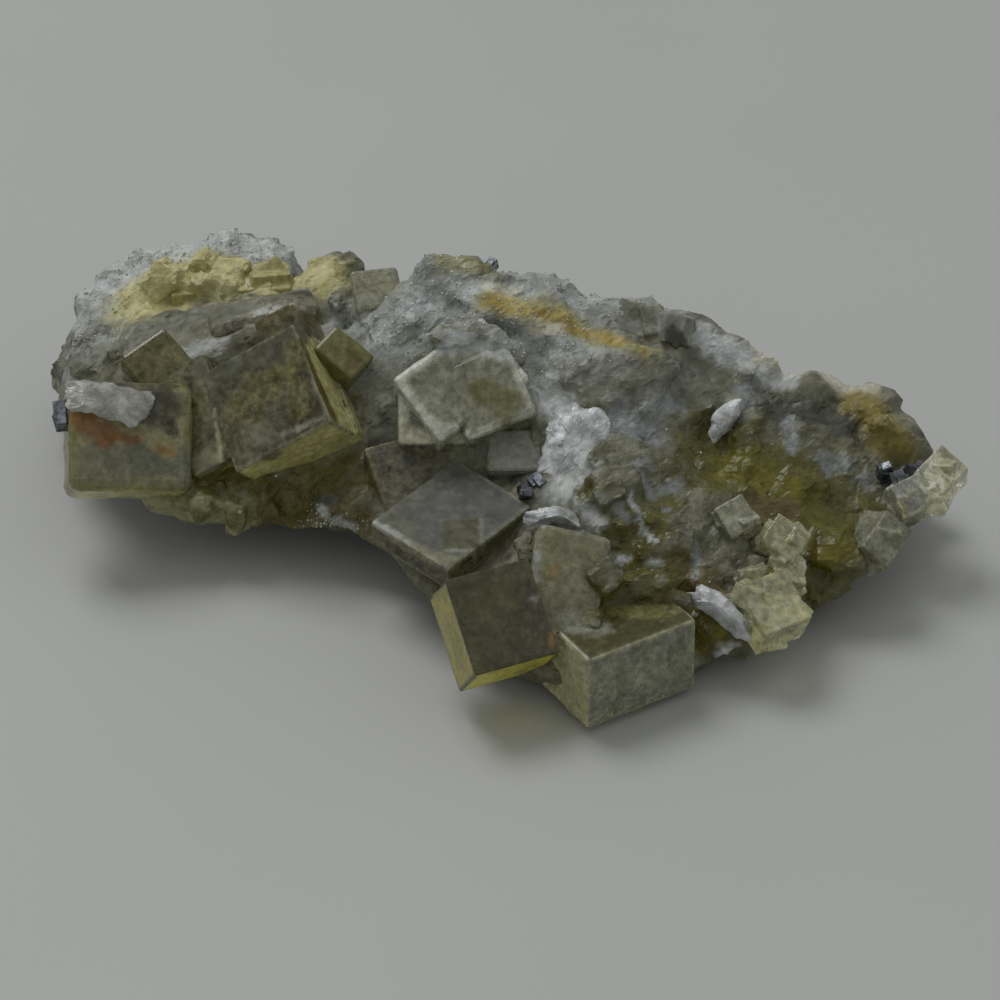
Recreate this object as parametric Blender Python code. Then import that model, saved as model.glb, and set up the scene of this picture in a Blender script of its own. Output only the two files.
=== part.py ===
"""Fluorite with galena: a hand specimen, 70 mm long, that lies on a flat broken base.

A rugged rock matrix runs from a low left lobe, over a saddle, to a higher ridge and down to a
right-hand point.  Fluorite cubes stand out of its front and top, galena grains sit between them,
and pieces of white quartz are grown on to it.  X runs left to right, Y from front to back.

Every length below is in millimetres and every angle in degrees.  The matrix is made first.  Each
crystal is then a cube, or cubes grown together, seated GAP clear of the matrix and of the pieces
that were made before it.
"""

import math

import bmesh
import bpy
from mathutils import Euler, Matrix, Vector, noise
from mathutils.geometry import delaunay_2d_cdt

MM = 0.001
GAP = 0.3  # clearance between neighbouring pieces
SMALLEST = 0.5  # no piece is smaller than this many cubic millimetres
VOXEL = 0.75  # grain of the matrix when its lumps are fused
MATRIX_FACES = 5200  # triangles of the matrix
MIDDLE = (-1.0, 0.5)  # middle of the specimen, seen from above
FOOT_DEPTH = 1.0  # how far the belly runs below the cut, so that the base is whole
CREST_RISE = 0.8  # what fusing and smoothing take from the crest
BACK_REACH = 2.4  # how far the back wall leans out below the crest
BACK_DROP = 6.5  # height of the back wall
BASE_SNAP = 0.12  # points this near to the base plane are on it

# The front edge of the matrix, left to right: where the face turns under.
FRONT_EDGE = [
    (-34.4, 3.0, 8.2), (-33.6, 0.5, 5.6), (-28.2, -1.4, 5.2), (-22.5, -3.0, 3.8), (-17.1, -4.6, 4.2),
    (-12.6, -5.6, 4.4), (-9.3, -7.5, 4.2), (-6.7, -10.1, 4.2), (-3.3, -17.2, 3.6), (1.9, -20.6, 3.2),
    (6.3, -21.6, 2.2), (13.9, -18.8, 1.5), (18.2, -15.4, 2.3), (22.9, -11.7, 2.5), (25.1, -10.4, 3.0),
    (28.7, -7.3, 4.0), (30.2, -5.3, 4.5), (30.9, -3.0, 5.2), (32.5, 1.0, 5.5),
]
# The crest, right to left: the top of the back wall.
CREST = [
    (32.7, 3.0, 7.0), (30.8, 4.8, 8.5), (30.0, 6.8, 9.0), (27.4, 7.6, 10.2), (24.2, 7.6, 11.8),
    (21.0, 7.4, 12.9), (18.6, 8.2, 13.8), (15.6, 9.2, 15.0), (13.1, 9.4, 15.8), (9.9, 9.7, 16.6),
    (6.8, 10.1, 17.4), (3.7, 10.4, 18.1), (-1.0, 10.0, 19.0), (-4.2, 10.9, 19.6), (-8.7, 12.9, 17.3),
    (-10.2, 16.3, 15.0), (-13.2, 19.2, 14.0), (-15.3, 20.8, 13.0), (-17.3, 24.0, 12.0),
    (-20.8, 26.2, 12.3), (-23.8, 25.6, 12.4), (-27.5, 25.2, 12.4), (-31.4, 24.2, 12.0),
    (-33.2, 23.1, 11.4), (-34.9, 20.4, 10.0), (-35.3, 15.5, 9.0),
]
# The flat base, seen from above.
FOOT = [
    (-25.0, 9.0), (-19.0, 6.5), (-12.0, 4.0), (-7.5, -1.0), (-3.5, -10.0), (1.0, -15.5), (8.0, -17.0),
    (13.5, -14.0), (19.0, -9.5), (24.0, -5.0), (25.0, 0.0), (20.0, 4.0), (12.0, 6.0), (3.0, 7.5),
    (-6.0, 9.5), (-12.0, 15.0), (-18.0, 19.0), (-25.0, 18.0), (-28.0, 13.0),
]
# High and low points of the upper face, by the part of the specimen that they shape.
FACE_POINTS = {
    "left lobe, under the cubes": [
        (-32.2, 3.1, 10.0), (-28.3, 2.2, 8.7), (-25.3, 2.6, 8.5), (-19.9, 4.3, 9.2), (-15.1, 2.1, 7.8),
        (-13.4, -2.6, 6.3), (-11.2, 2.2, 9.7), (-11.6, 5.2, 13.1),
    ],
    "left lobe, top": [
        (-31.9, 10.0, 12.0), (-28.2, 9.2, 13.0), (-25.3, 6.6, 13.5), (-21.5, 9.1, 14.3),
        (-16.8, 10.5, 14.6), (-13.3, 10.1, 14.8), (-29.3, 17.2, 12.2), (-23.7, 18.1, 12.4),
        (-18.0, 17.9, 13.0),
    ],
    "saddle and middle": [
        (-8.8, 6.7, 16.0), (-5.7, 8.9, 18.3), (-3.7, 2.4, 14.2), (-6.5, 2.1, 11.6), (-2.6, 6.4, 15.3),
        (2.1, 6.1, 15.5), (-7.3, -0.4, 7.4), (0.1, -0.1, 9.6), (-4.9, -6.3, 5.4), (-0.6, -5.6, 7.2), (-8.2, -5.6, 4.9),
    ],
    "right lobe, upper slope": [
        (3.6, 1.1, 13.2), (5.1, -2.8, 10.9), (9.8, 3.3, 13.6), (9.6, -3.4, 11.6), (17.3, 5.3, 11.8),
        (17.5, -0.4, 10.5), (22.5, 5.3, 10.4), (25.3, 0.4, 9.0), (28.7, 4.3, 9.2),
    ],
    "right lobe, lower slope": [
        (6.5, -8.0, 9.0), (3.5, -10.2, 7.2), (-1.4, -11.7, 5.4), (-0.6, -17.0, 4.2), (14.2, -6.1, 8.8),
        (21.2, -3.9, 8.2), (26.7, -3.8, 7.2), (29.5, -1.9, 6.6), (8.0, -13.8, 5.9), (13.2, -12.8, 6.6),
        (13.2, -16.5, 3.8), (18.6, -11.1, 6.8), (23.3, -8.3, 6.2), (20.1, -13.2, 4.4),
        (24.9, -9.5, 4.2), (28.1, -5.8, 5.6),
    ],
}
# Lumps fused into the matrix: centre, size, turn.
LUMPS = {
    "ridge knob": ((-6.2, 11.0, 18.6), (4.2, 3.4, 3.6), (10, 0, 20)),
    "ridge knob, right": ((-3.4, 10.6, 18.6), (3.8, 3.0, 3.2), (0, 15, 0)),
    "left back knob": ((-32.0, 21.5, 9.4), (5.6, 5.0, 4.4), (0, 0, 30)),
    "left back knob, middle": ((-27.0, 23.0, 10.4), (6.2, 4.6, 4.4), (0, 10, 0)),
    "left back knob, right": ((-20.8, 24.6, 10.6), (5.6, 4.6, 4.6), (0, 0, -20)),
    "saddle knob": ((-14.6, 19.6, 12.0), (4.8, 4.2, 4.0), (0, 0, 40)),
    "left edge knob": ((-33.2, 11.0, 8.6), (5.0, 6.4, 5.4), (0, 0, 10)),
    "under the left cubes": ((-21.0, 1.6, 6.0), (12.0, 6.0, 4.0), (0, -4, -8)),
    "druse below the saddle": ((-13.4, -1.8, 5.8), (6.0, 6.0, 3.6), (0, 0, -25)),
    "front lump": ((24.0, -7.6, 4.8), (5.6, 5.6, 5.0), (0, 12, 30)),
    "front lump, left": ((14.6, -15.0, 3.8), (6.4, 5.2, 4.6), (0, 0, -30)),
}
# Blocks with flat sides fused into the matrix: centre, size, turn.
BLOCKS = {
    "brown lump": ((28.6, 3.8, 7.6), (3.6, 5.4, 3.6), (-22, 20, 28)),
    "upper step": ((7.0, 3.6, 13.2), (9.0, 5.0, 4.0), (34, 8, -14)),
    "middle step": ((9.2, -5.2, 8.9), (6.4, 7.0, 4.6), (24, 10, 24)),
    "right step": ((20.4, 0.4, 8.8), (7.4, 6.0, 3.8), (22, 16, -12)),
    "low step": ((13.8, -9.2, 6.6), (5.6, 5.6, 3.6), (30, 4, 38)),
    "ridge step": ((0.6, 8.0, 16.2), (8.4, 3.4, 4.0), (26, 10, -8)),
    "left top step": ((-22.0, 13.6, 11.7), (8.0, 6.4, 3.6), (8, -6, 24)),
}
ROUGHNESS = [  # amplitude and wavelength of the broken surface, coarse to fine
    (0.60, 6.5),
    (0.35, 2.8),
]
STEP_HEIGHT = 0.3  # the blocky cleavage of the mass
STEP_WIDTH = 3.8
STEP_TURN = (20, 25, 40)

# Crystals: centre, turn, size.
LEFT_CUBES = {
    "large cube": ((-17.7, 3.6, 10.6), (37, -31, 3), (8.6, 8.7, 8.0)),
    "step beside it": ((-23.6, 2.7, 8.9), (37, -31, 2), (3.6, 8.3, 7.0)),
    "edge cube": ((-29.9, 0.8, 9.6), (47, 8, 10), (9.6, 8.6, 5.0)),
}
MIDDLE_CUBES = {
    "pale cube": ((-4.1, 2.9, 13.3), (38, -23, 29), (8.6, 6.2, 5.0)),
    "cube below it": ((-5.8, 3.2, 10.6), (48, 2, 3), (6.5, 5.6, 5.0)),
    "brown cube": ((-7.6, 0.1, 6.7), (35, -5, 20), (7.0, 5.5, 3.6)),
}
FRONT_CUBES = {
    "yellow-edged cube": ((-1.5, -19.2, 6.7), (41, -2, 22), (6.6, 7.4, 5.6)),
    "tall cube": ((3.4, -15.9, 6.8), (36, 14, -2), (5.6, 9.4, 5.0)),
    "low cube": ((7.7, -18.6, 3.8), (0, 0, 32), (9.6, 6.6, 6.4)),
}
YELLOW_CRYSTALS = {
    "upper": ((20.1, -10.4, 7.6), (28, -21, 56), (3.2, 3.4, 4.0)),
    "lower": ((19.1, -15.8, 5.4), (28, -4, 29), (4.6, 5.0, 4.0)),
    "between": ((20.3, -12.6, 6.2), (18, 12, 10), (2.8, 3.2, 3.0)),
}
TIP_CRYSTALS = {
    "outer": ((33.0, -1.7, 7.8), (24, -26, 38), (3.6, 3.2, 4.0)),
    "inner": ((30.3, -3.6, 6.9), (34, -8, 33), (3.2, 3.0, 4.0)),
}
BACK_CUBES = {
    "left": ((-24.8, 20.2, 9.9), (5, -1, 8), (7.0, 5.0, 6.4)),
    "right": ((-20.2, 18.7, 11.0), (5, 0, 5), (5.0, 4.0, 6.0)),
}
SINGLE_CUBES = {
    "grey_cube": ((-4.7, -6.7, 7.0), (6, 5, -42), (8.0, 9.6, 2.2)),
    "wedge_crystal": ((-13.6, 6.2, 13.2), (28, -15, 53), (3.0, 4.0, 4.0)),
    "dark_olive_crystal": ((-27.8, 7.5, 11.4), (12, -17, 37), (4.0, 4.2, 4.5)),
    "dark_lens_crystal": ((-19.6, 11.8, 12.8), (4, -8, 10), (9.0, 4.6, 4.6)),
    "saddle_cube": ((-10.9, 12.7, 14.9), (31, -1, 10), (3.8, 3.6, 4.6)),
    "dark_facet_cube": ((0.2, -0.2, 8.4), (35, -2, -2), (4.4, 3.6, 4.6)),
    "ridge_slab": ((10.8, 8.3, 15.2), (14, 6, -21), (6.4, 2.6, 3.6)),
    "pale_round_crystal": ((16.8, -8.8, 8.8), (36, -19, 24), (2.8, 3.0, 3.4)),
    "edge_crystal": ((27.7, -7.8, 6.1), (45, -25, 53), (4.2, 3.0, 4.0)),
}
GALENA = {
    "galena_left": [((-34.9, 0.8, 11.9), (35, -6, 8), (1.8, 2.6, 2.2))],
    "galena_middle": [
        ((1.9, -4.2, 9.0), (20, -16, 37), (1.8, 1.7, 2.4)),
        ((0.8, -4.8, 8.6), (40, 10, 15), (1.3, 1.3, 2.0)),
    ],
    "galena_right": [
        ((29.7, -3.2, 8.2), (32, 1, 27), (2.0, 2.2, 2.6)),
        ((30.9, -1.6, 8.2), (10, 20, 50), (1.6, 1.6, 2.4)),
        ((28.6, -2.0, 8.6), (24, -12, 5), (1.3, 1.3, 2.0)),
    ],
    "galena_top": [((-1.8, 12.0, 18.6), (22, 11, -26), (1.2, 1.3, 2.2))],
}
QUARTZ = {
    "quartz_plate": ((-31.3, 0.6, 13.9), (22, 19, -2), (6.4, 3.4, 1.8)),
    "quartz_mass": ((4.6, -1.0, 10.6), (27, -33, 55), (8.0, 5.0, 4.2)),
    "quartz_arch": ((3.6, -7.1, 8.1), (33, 13, -13), (5.6, 2.5, 3.0)),
    "quartz_rod": ((15.4, -16.2, 6.0), (24, 31, -33), (6.4, 2.2, 2.4)),
    "quartz_flake": ((16.4, 0.4, 11.8), (31, -37, 52), (3.4, 1.7, 2.0)),
}
QUARTZ_ROUGHNESS = 0.25
QUARTZ_BLEND = 0.55  # 0 keeps a block's corners, 1 makes it an ellipsoid

COLOURS = {
    "rock": (0.235, 0.235, 0.205, 1.0),
    "fluorite_yellow": (0.33, 0.32, 0.17, 1.0),
    "fluorite_pale": (0.46, 0.47, 0.38, 1.0),
    "fluorite_dark": (0.16, 0.16, 0.10, 1.0),
    "galena": (0.07, 0.08, 0.09, 1.0),
    "quartz": (0.60, 0.60, 0.58, 1.0),
}


def material(name, metallic=0.0, roughness=0.4):
    """A Principled material of that name and colour, made once."""
    if name in bpy.data.materials:
        return bpy.data.materials[name]
    made = bpy.data.materials.new(name)
    made.use_nodes = True
    shader = made.node_tree.nodes["Principled BSDF"]
    shader.inputs["Base Color"].default_value = COLOURS[name]
    shader.inputs["Metallic"].default_value = metallic
    shader.inputs["Roughness"].default_value = roughness
    return made


def new_object(name, mesh):
    made = bpy.data.objects.new(name, mesh)
    bpy.context.scene.collection.objects.link(made)
    return made


def object_from(name, build):
    """An object whose mesh is filled by build(bm), with its faces turned outward."""
    bm = bmesh.new()
    build(bm)
    bmesh.ops.recalc_face_normals(bm, faces=bm.faces)
    mesh = bpy.data.meshes.new(name)
    bm.to_mesh(mesh)
    bm.free()
    return new_object(name, mesh)


def remove(made):
    mesh = made.data
    bpy.data.objects.remove(made)
    bpy.data.meshes.remove(mesh)


def bake(made):
    """Replaces the object's mesh by the result of its modifiers."""
    bpy.context.view_layer.update()
    depsgraph = bpy.context.evaluated_depsgraph_get()
    result = bpy.data.meshes.new_from_object(made.evaluated_get(depsgraph), depsgraph=depsgraph)
    made.modifiers.clear()
    old = made.data
    made.data = result
    bpy.data.meshes.remove(old)


def is_closed(bm):
    """Whether there are two faces at each edge and one fan of faces at each corner."""
    return all(edge.is_manifold for edge in bm.edges) and all(v.is_manifold for v in bm.verts)


def split_faces(mesh):
    """The mesh as triangles, and whether some way of splitting its faces leaves it closed."""
    for method in ("BEAUTY", "EAR_CLIP"):
        for quads in ("BEAUTY", "ALTERNATE", "FIXED"):
            bm = bmesh.new()
            bm.from_mesh(mesh)
            bmesh.ops.triangulate(bm, faces=bm.faces, quad_method=quads, ngon_method=method)
            if is_closed(bm):
                return bm, True
            bm.free()
    bm = bmesh.new()
    bm.from_mesh(mesh)
    bmesh.ops.triangulate(bm, faces=bm.faces)
    return bm, False


def volume_of(faces):
    total = 0.0
    for face in faces:
        corners = [loop.vert.co for loop in face.loops]
        for b, c in zip(corners[1:], corners[2:]):
            total += corners[0].dot(b.cross(c)) / 6
    return total


def boolean(target, other, operation):
    """Joins other to the target, or cuts it from the target, and removes it."""
    other.display_type = "WIRE"
    other.hide_render = True
    before = target.data.copy()
    for solver in ("EXACT", "MANIFOLD"):
        target.data = before.copy()
        step = target.modifiers.new(operation.lower(), "BOOLEAN")
        step.operation = operation
        step.solver = solver
        step.object = other
        bake(target)
        split, closed = split_faces(target.data)
        volume = volume_of(split.faces)
        split.free()
        if closed and volume > SMALLEST * MM**3:
            break
    bpy.data.meshes.remove(before)
    remove(other)


def placement(centre, turn):
    angles = [math.radians(angle) for angle in turn]
    return Matrix.Translation(Vector(centre) * MM) @ Euler(angles).to_matrix().to_4x4()


def box(name, spec, grow=0.0):
    """A cuboid: centre, turn and size, made larger by grow on every side."""
    centre, turn, size = spec
    stretch = Matrix.Diagonal([(length + 2 * grow) * MM for length in size] + [1.0])
    return object_from(
        name,
        lambda bm: bmesh.ops.create_cube(bm, size=1.0, matrix=placement(centre, turn) @ stretch),
    )


def rough_block(name, spec, grow=0.0):
    """A lump of quartz: a block drawn part of the way to an ellipsoid, with a broken surface."""
    centre, turn, size = spec
    half = Vector([(length / 2 + grow) * MM for length in size])

    def build(bm):
        bmesh.ops.create_cube(bm, size=2.0)
        bmesh.ops.subdivide_edges(bm, edges=bm.edges, cuts=3, use_grid_fill=True)
        place = placement(centre, turn)
        for vert in bm.verts:
            point = vert.co.lerp(vert.co.normalized() * 1.15, QUARTZ_BLEND)
            seed = point * 1.7 + Vector(centre) * 0.37
            point = point * (1.0 + QUARTZ_ROUGHNESS * (noise.noise(seed) - 0.15))
            vert.co = place @ Vector([a * b for a, b in zip(point, half)])

    return object_from(name, build)


def ball(name, spec):
    """An ellipsoid: centre, size and turn."""
    centre, size, turn = spec
    stretch = Matrix.Diagonal([length / 2 * MM for length in size] + [1.0])
    return object_from(
        name,
        lambda bm: bmesh.ops.create_icosphere(
            bm, subdivisions=3, radius=1.0, matrix=placement(centre, turn) @ stretch
        ),
    )


def back_edge(point):
    """The foot of the back wall below a point of the crest, further from the middle."""
    away = Vector((point[0] - MIDDLE[0], point[1] - MIDDLE[1])).normalized()
    return (
        point[0] + away.x * BACK_REACH,
        point[1] + away.y * BACK_REACH,
        max(point[2] - BACK_DROP, 3.0),
    )


def skin(bm, rim, inner):
    """Flat facets over the rim and the points inside it."""
    points = rim + inner
    loop = [(i, (i + 1) % len(rim)) for i in range(len(rim))]
    flat = [Vector(point[:2]) for point in points]
    where, _, faces, source, _, _ = delaunay_2d_cdt(flat, loop, [], 1, 1e-6)
    verts = [
        bm.verts.new(Vector((at.x, at.y, points[owners[0]][2])) * MM)
        for at, owners in zip(where, source)
    ]
    for face in faces:
        bm.faces.new([verts[i] for i in face])


def matrix_blank():
    """The closed faceted body: the upper face over the named points, the belly over the foot."""
    rim = FRONT_EDGE + [back_edge(point) for point in CREST]
    crest = [(x, y, z + CREST_RISE) for x, y, z in CREST]
    face = [point for points in FACE_POINTS.values() for point in points]
    foot = [(x, y, -FOOT_DEPTH) for x, y in FOOT]

    def build(bm):
        skin(bm, rim, crest + face)
        skin(bm, rim, foot)
        bmesh.ops.remove_doubles(bm, verts=bm.verts, dist=0.00001)

    return object_from("matrix", build)


def roughen(mesh):
    """Moves each point along its normal by the broken surface's waves and cleavage steps."""
    turn = Euler([math.radians(angle) for angle in STEP_TURN]).to_matrix()
    normals = [vert.normal.copy() for vert in mesh.vertices]
    for vert, normal in zip(mesh.vertices, normals):
        point = vert.co / MM
        rise = sum(height * noise.noise(point / length) * 1.6 for height, length in ROUGHNESS)
        rise += STEP_HEIGHT * (noise.cell(turn @ point / STEP_WIDTH) - 0.5)
        vert.co = (point + normal * rise) * MM


def flatten(mesh, snap):
    """Lays on the base plane every point that is below it, or above it by less than snap."""
    for vert in mesh.vertices:
        if vert.co.z < snap * MM:
            vert.co.z = 0.0


def make_matrix():
    """Fuses the faceted body with its lumps and blocks, roughens it and cuts its flat base."""
    body = matrix_blank()
    for name, (centre, size, turn) in BLOCKS.items():
        boolean(body, box(name, (centre, turn, size)), "UNION")
    for name, spec in LUMPS.items():
        boolean(body, ball(name, spec), "UNION")
    fuse = body.modifiers.new("fuse", "REMESH")
    fuse.mode = "VOXEL"
    fuse.voxel_size = VOXEL * MM
    bake(body)
    roughen(body.data)
    flatten(body.data, 0.0)
    body.modifiers.new("split", "TRIANGULATE")
    bake(body)
    thin = body.modifiers.new("thin", "DECIMATE")
    thin.ratio = MATRIX_FACES / len(body.data.polygons)
    bake(body)
    flatten(body.data, BASE_SNAP)
    return body


def swollen(made, grow):
    """A copy of the object with its surface moved outward."""
    copy = new_object("swollen " + made.name, made.data.copy())
    normals = [vert.normal.copy() for vert in copy.data.vertices]
    for vert, normal in zip(copy.data.vertices, normals):
        vert.co += normal * grow * MM
    return copy


def pieces_of(bm):
    """The separate pieces of a mesh, as lists of faces."""
    left = set(bm.faces)
    found = []
    while left:
        todo = [left.pop()]
        piece = []
        while todo:
            face = todo.pop()
            piece.append(face)
            near = {other for edge in face.edges for other in edge.link_faces} & left
            left -= near
            todo.extend(near)
        found.append(piece)
    return found


def keep_largest(made):
    """Drops the crumbs that a cut leaves, keeps the one solid and splits its faces in triangles."""
    bm, _ = split_faces(made.data)
    found = sorted(pieces_of(bm), key=volume_of)
    crumbs = [face for piece in found[:-1] for face in piece]
    bmesh.ops.delete(bm, geom=crumbs, context="FACES")
    bm.to_mesh(made.data)
    bm.free()


class Specimen:
    """The pieces made so far, and what a new piece has to keep clear of."""

    def __init__(self):
        self.matrix = make_matrix()
        self.matrix.data.materials.clear()
        self.matrix.data.materials.append(material("rock", roughness=0.75))
        keep_largest(self.matrix)
        self.pieces = [self.matrix]
        self.taken = []

    def seat(self, name, shapes, colour, make=box, metallic=0.0, roughness=0.25):
        """Joins the shapes, cuts them clear of the matrix and of the earlier pieces."""
        first, *others = shapes
        piece = make(name, first)
        for shape in others:
            boolean(piece, make("part of " + name, shape), "UNION")
        for other_make, other in self.taken:
            if self.near(shapes, other):
                boolean(piece, other_make("clearance", other, GAP), "DIFFERENCE")
        boolean(piece, swollen(self.matrix, GAP), "DIFFERENCE")
        keep_largest(piece)
        piece.data.materials.clear()
        piece.data.materials.append(material(colour, metallic, roughness))
        self.taken.extend((make, shape) for shape in shapes)
        self.pieces.append(piece)

    @staticmethod
    def near(shapes, other):
        """Whether any of the shapes may reach the other one."""
        reach = Vector(other[2]).length / 2 + GAP
        return any(
            (Vector(shape[0]) - Vector(other[0])).length < reach + Vector(shape[2]).length / 2
            for shape in shapes
        )

    def settle(self):
        """Puts the origin below the middle of the whole specimen, on its base."""
        points = [vert.co for piece in self.pieces for vert in piece.data.vertices]
        low = [min(point[axis] for point in points) for axis in range(3)]
        high = [max(point[axis] for point in points) for axis in range(3)]
        shift = Matrix.Translation((-(low[0] + high[0]) / 2, -(low[1] + high[1]) / 2, -low[2]))
        for piece in self.pieces:
            piece.data.transform(shift)
        return shift.translation


def build():
    for made in list(bpy.data.objects):
        bpy.data.objects.remove(made)
    specimen = Specimen()
    specimen.seat("left_cubes", list(LEFT_CUBES.values()), "fluorite_yellow")
    specimen.seat("middle_cubes", list(MIDDLE_CUBES.values()), "fluorite_pale")
    specimen.seat("front_cubes", list(FRONT_CUBES.values()), "fluorite_yellow")
    specimen.seat("back_cubes", list(BACK_CUBES.values()), "fluorite_yellow")
    specimen.seat("yellow_crystals", list(YELLOW_CRYSTALS.values()), "fluorite_pale")
    specimen.seat("tip_crystals", list(TIP_CRYSTALS.values()), "fluorite_pale")
    for name, shape in SINGLE_CUBES.items():
        specimen.seat(name, [shape], "fluorite_pale" if "pale" in name else "fluorite_dark")
    for name, shapes in GALENA.items():
        specimen.seat(name, shapes, "galena", metallic=1.0)
    for name, shape in QUARTZ.items():
        specimen.seat(name, [shape], "quartz", make=rough_block, roughness=0.6)
    return specimen.settle()


SHIFT = build()
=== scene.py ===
"""Fluorite with galena: a hand specimen of glassy cubes, sparkling crust and metallic grains.

Lengths are in millimetres until a mesh is made, where MM turns them into metres. Angles are in
degrees. X runs left to right, Y from front to back, and the specimen rests on z = 0.
"""

import math
from contextlib import contextmanager
from itertools import product

import bmesh
import bpy
import numpy as np
from mathutils import Euler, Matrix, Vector


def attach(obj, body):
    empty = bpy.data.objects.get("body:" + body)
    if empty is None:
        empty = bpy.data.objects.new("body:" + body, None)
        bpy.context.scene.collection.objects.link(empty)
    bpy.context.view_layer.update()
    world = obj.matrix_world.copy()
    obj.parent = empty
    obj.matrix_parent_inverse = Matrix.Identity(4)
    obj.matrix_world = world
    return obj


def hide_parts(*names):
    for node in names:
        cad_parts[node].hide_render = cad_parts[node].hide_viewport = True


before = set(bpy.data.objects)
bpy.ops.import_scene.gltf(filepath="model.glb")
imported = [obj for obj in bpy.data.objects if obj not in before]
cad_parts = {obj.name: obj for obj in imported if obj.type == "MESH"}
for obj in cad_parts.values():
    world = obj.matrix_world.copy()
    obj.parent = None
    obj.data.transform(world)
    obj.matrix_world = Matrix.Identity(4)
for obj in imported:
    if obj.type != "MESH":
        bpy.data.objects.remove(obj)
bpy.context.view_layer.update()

MM = 0.001
SHIFT = np.array([1.018, -1.637, 0.0])  # from the bench where the crystals were laid out
LIGHT_LEVEL = 0.62  # a colour's share of the light when it lies level under the lamp
BRIGHTEST = 0.95  # no finish gives back more of the light than this
WELD = 1e-6  # points closer than this, in metres, are one point
BUBBLE = 60  # a closed skin with fewer points than this is a bubble
# Where the random numbers of each kind of piece start
COBBLE_SEED, ROCK_SEED, CRUST_SEED = 9, 400, 5
CRYSTAL_SEED, SIDE_SEED, RIM_SEED, PATCH_SEED, WINDOW_SEED = 500, 510, 515, 700, 760
CLUSTER_SEED, GALENA_SEED, GRAIN_SEED, QUARTZ_SEED = 90, 80, 60, 200


def paint(red, green, blue):
    """A finish's colour from how it should look in print, 0 to 255, as the shader wants it: each
    number is made linear by the display curve and divided by the light that falls on it."""
    linear = [((c / 255 + 0.055) / 1.055) ** 2.4 for c in (red, green, blue)]
    return tuple(min(BRIGHTEST, c / LIGHT_LEVEL) for c in linear) + (1.0,)


# ---------------------------------------------------------------------------------------------
# Noise and cells, worked out for whole arrays of points


def hashed(cell, seed):
    """A repeatable number from 0 to 1 for each whole-number cell: its three numbers are mixed
    by multiplying with large odd numbers and folding the high bits back."""
    key = (cell.astype(np.int64) * (73856093, 19349663, 83492791)).sum(-1).astype(np.uint64)
    key = (key + np.uint64(seed * 7919 + 1)) * np.uint64(0x9E3779B97F4A7C15)
    key ^= key >> np.uint64(29)
    key *= np.uint64(0xBF58476D1CE4E5B9)
    key ^= key >> np.uint64(32)
    return (key >> np.uint64(40)) / float(1 << 24)


def noise(points, size, seed=0, octaves=3, fall=0.5):
    """Smooth noise from -1 to 1: numbers on a lattice of that size, blended by the smooth step
    of the place in the cell, with finer and weaker layers added."""
    total, weight, strength = 0.0, 0.0, 1.0
    for k in range(octaves):
        place = points / size * 2.0**k + 17.31 * k
        base = np.floor(place)
        t = place - base
        t = t * t * (3 - 2 * t)
        value = 0.0
        for corner in product((0, 1), repeat=3):
            share = np.prod(np.where(np.array(corner) == 1, t, 1 - t), axis=-1)
            value = value + share * hashed(base + corner, seed + k)
        total = total + strength * (2 * value - 1)
        weight += strength
        strength *= fall
    return total / weight


def cells(points, size, seed):
    """The nearest of many scattered seeds: the distance to it and its place. One seed lies at a
    hashed place in each lattice cell."""
    place = points / size
    base = np.floor(place)
    near = np.full(len(points), np.inf)
    home = np.zeros_like(points)
    for offset in product((-1, 0, 1), repeat=3):
        cell = base + offset
        spot = cell + np.stack([hashed(cell, seed + j) for j in range(3)], axis=-1)
        gap = np.linalg.norm(place - spot, axis=-1)
        closer = gap < near
        home[closer] = spot[closer]
        near = np.where(closer, gap, near)
    return near * size, home * size


def facets(points, size, seed, slope_seed, waver=0.5):
    """Cleavage facets: in each cell the surface rises as a plane, by the way from the cell's
    seed along its own slope, which is noise at the seed."""
    _, home = cells(points, size, seed)
    slope = np.stack([noise(home, waver, slope_seed + k, 1) for k in range(3)], axis=-1)
    return ((points - home) * slope).sum(-1)


def smooth(value, low, high):
    """0 below low, 1 above high, and a smooth step between."""
    t = np.clip((value - low) / (high - low), 0, 1)
    return t * t * (3 - 2 * t)


def distance_to_path(points, path):
    """Distance from each point to the straight runs that join the path's points."""
    path = np.array(path, float)
    if len(path) == 1:
        return np.linalg.norm(points - path[0], axis=-1)
    found = np.full(len(points), np.inf)
    for a, b in zip(path, path[1:]):
        t = np.clip((points - a) @ (b - a) / ((b - a) @ (b - a)), 0, 1)
        found = np.minimum(found, np.linalg.norm(points - a - t[:, None] * (b - a), axis=-1))
    return found


# ---------------------------------------------------------------------------------------------
# Meshes


def new_piece(name, verts, faces):
    """A mesh object from arrays of points in millimetres and of faces, at the origin."""
    mesh = bpy.data.meshes.new(name)
    faces = faces if isinstance(faces, list) else np.asarray(faces).tolist()
    mesh.from_pydata((np.asarray(verts) * MM).tolist(), [], faces)
    mesh.update()
    made = bpy.data.objects.new(name, mesh)
    bpy.context.scene.collection.objects.link(made)
    return made


def read_points(mesh):
    """A mesh's points, in millimetres."""
    co = np.empty(len(mesh.vertices) * 3, np.float32)
    mesh.vertices.foreach_get("co", co)
    return co.reshape(-1, 3).astype(float) / MM


def read_normals(mesh):
    """The outward direction at each of a mesh's points."""
    n = np.empty(len(mesh.vertices) * 3, np.float32)
    mesh.vertex_normals.foreach_get("vector", n)
    return n.reshape(-1, 3).astype(float)


def write_points(mesh, points):
    """Moves a mesh's points to places in millimetres."""
    mesh.vertices.foreach_set("co", (points * MM).astype(np.float32).ravel())
    mesh.update()


def write_values(mesh, name, values):
    """Keeps one number at each of a mesh's points, which a finish can read by its name."""
    layer = mesh.attributes.new(name, "FLOAT", "POINT")
    layer.data.foreach_set("value", np.asarray(values, np.float32))


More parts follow.
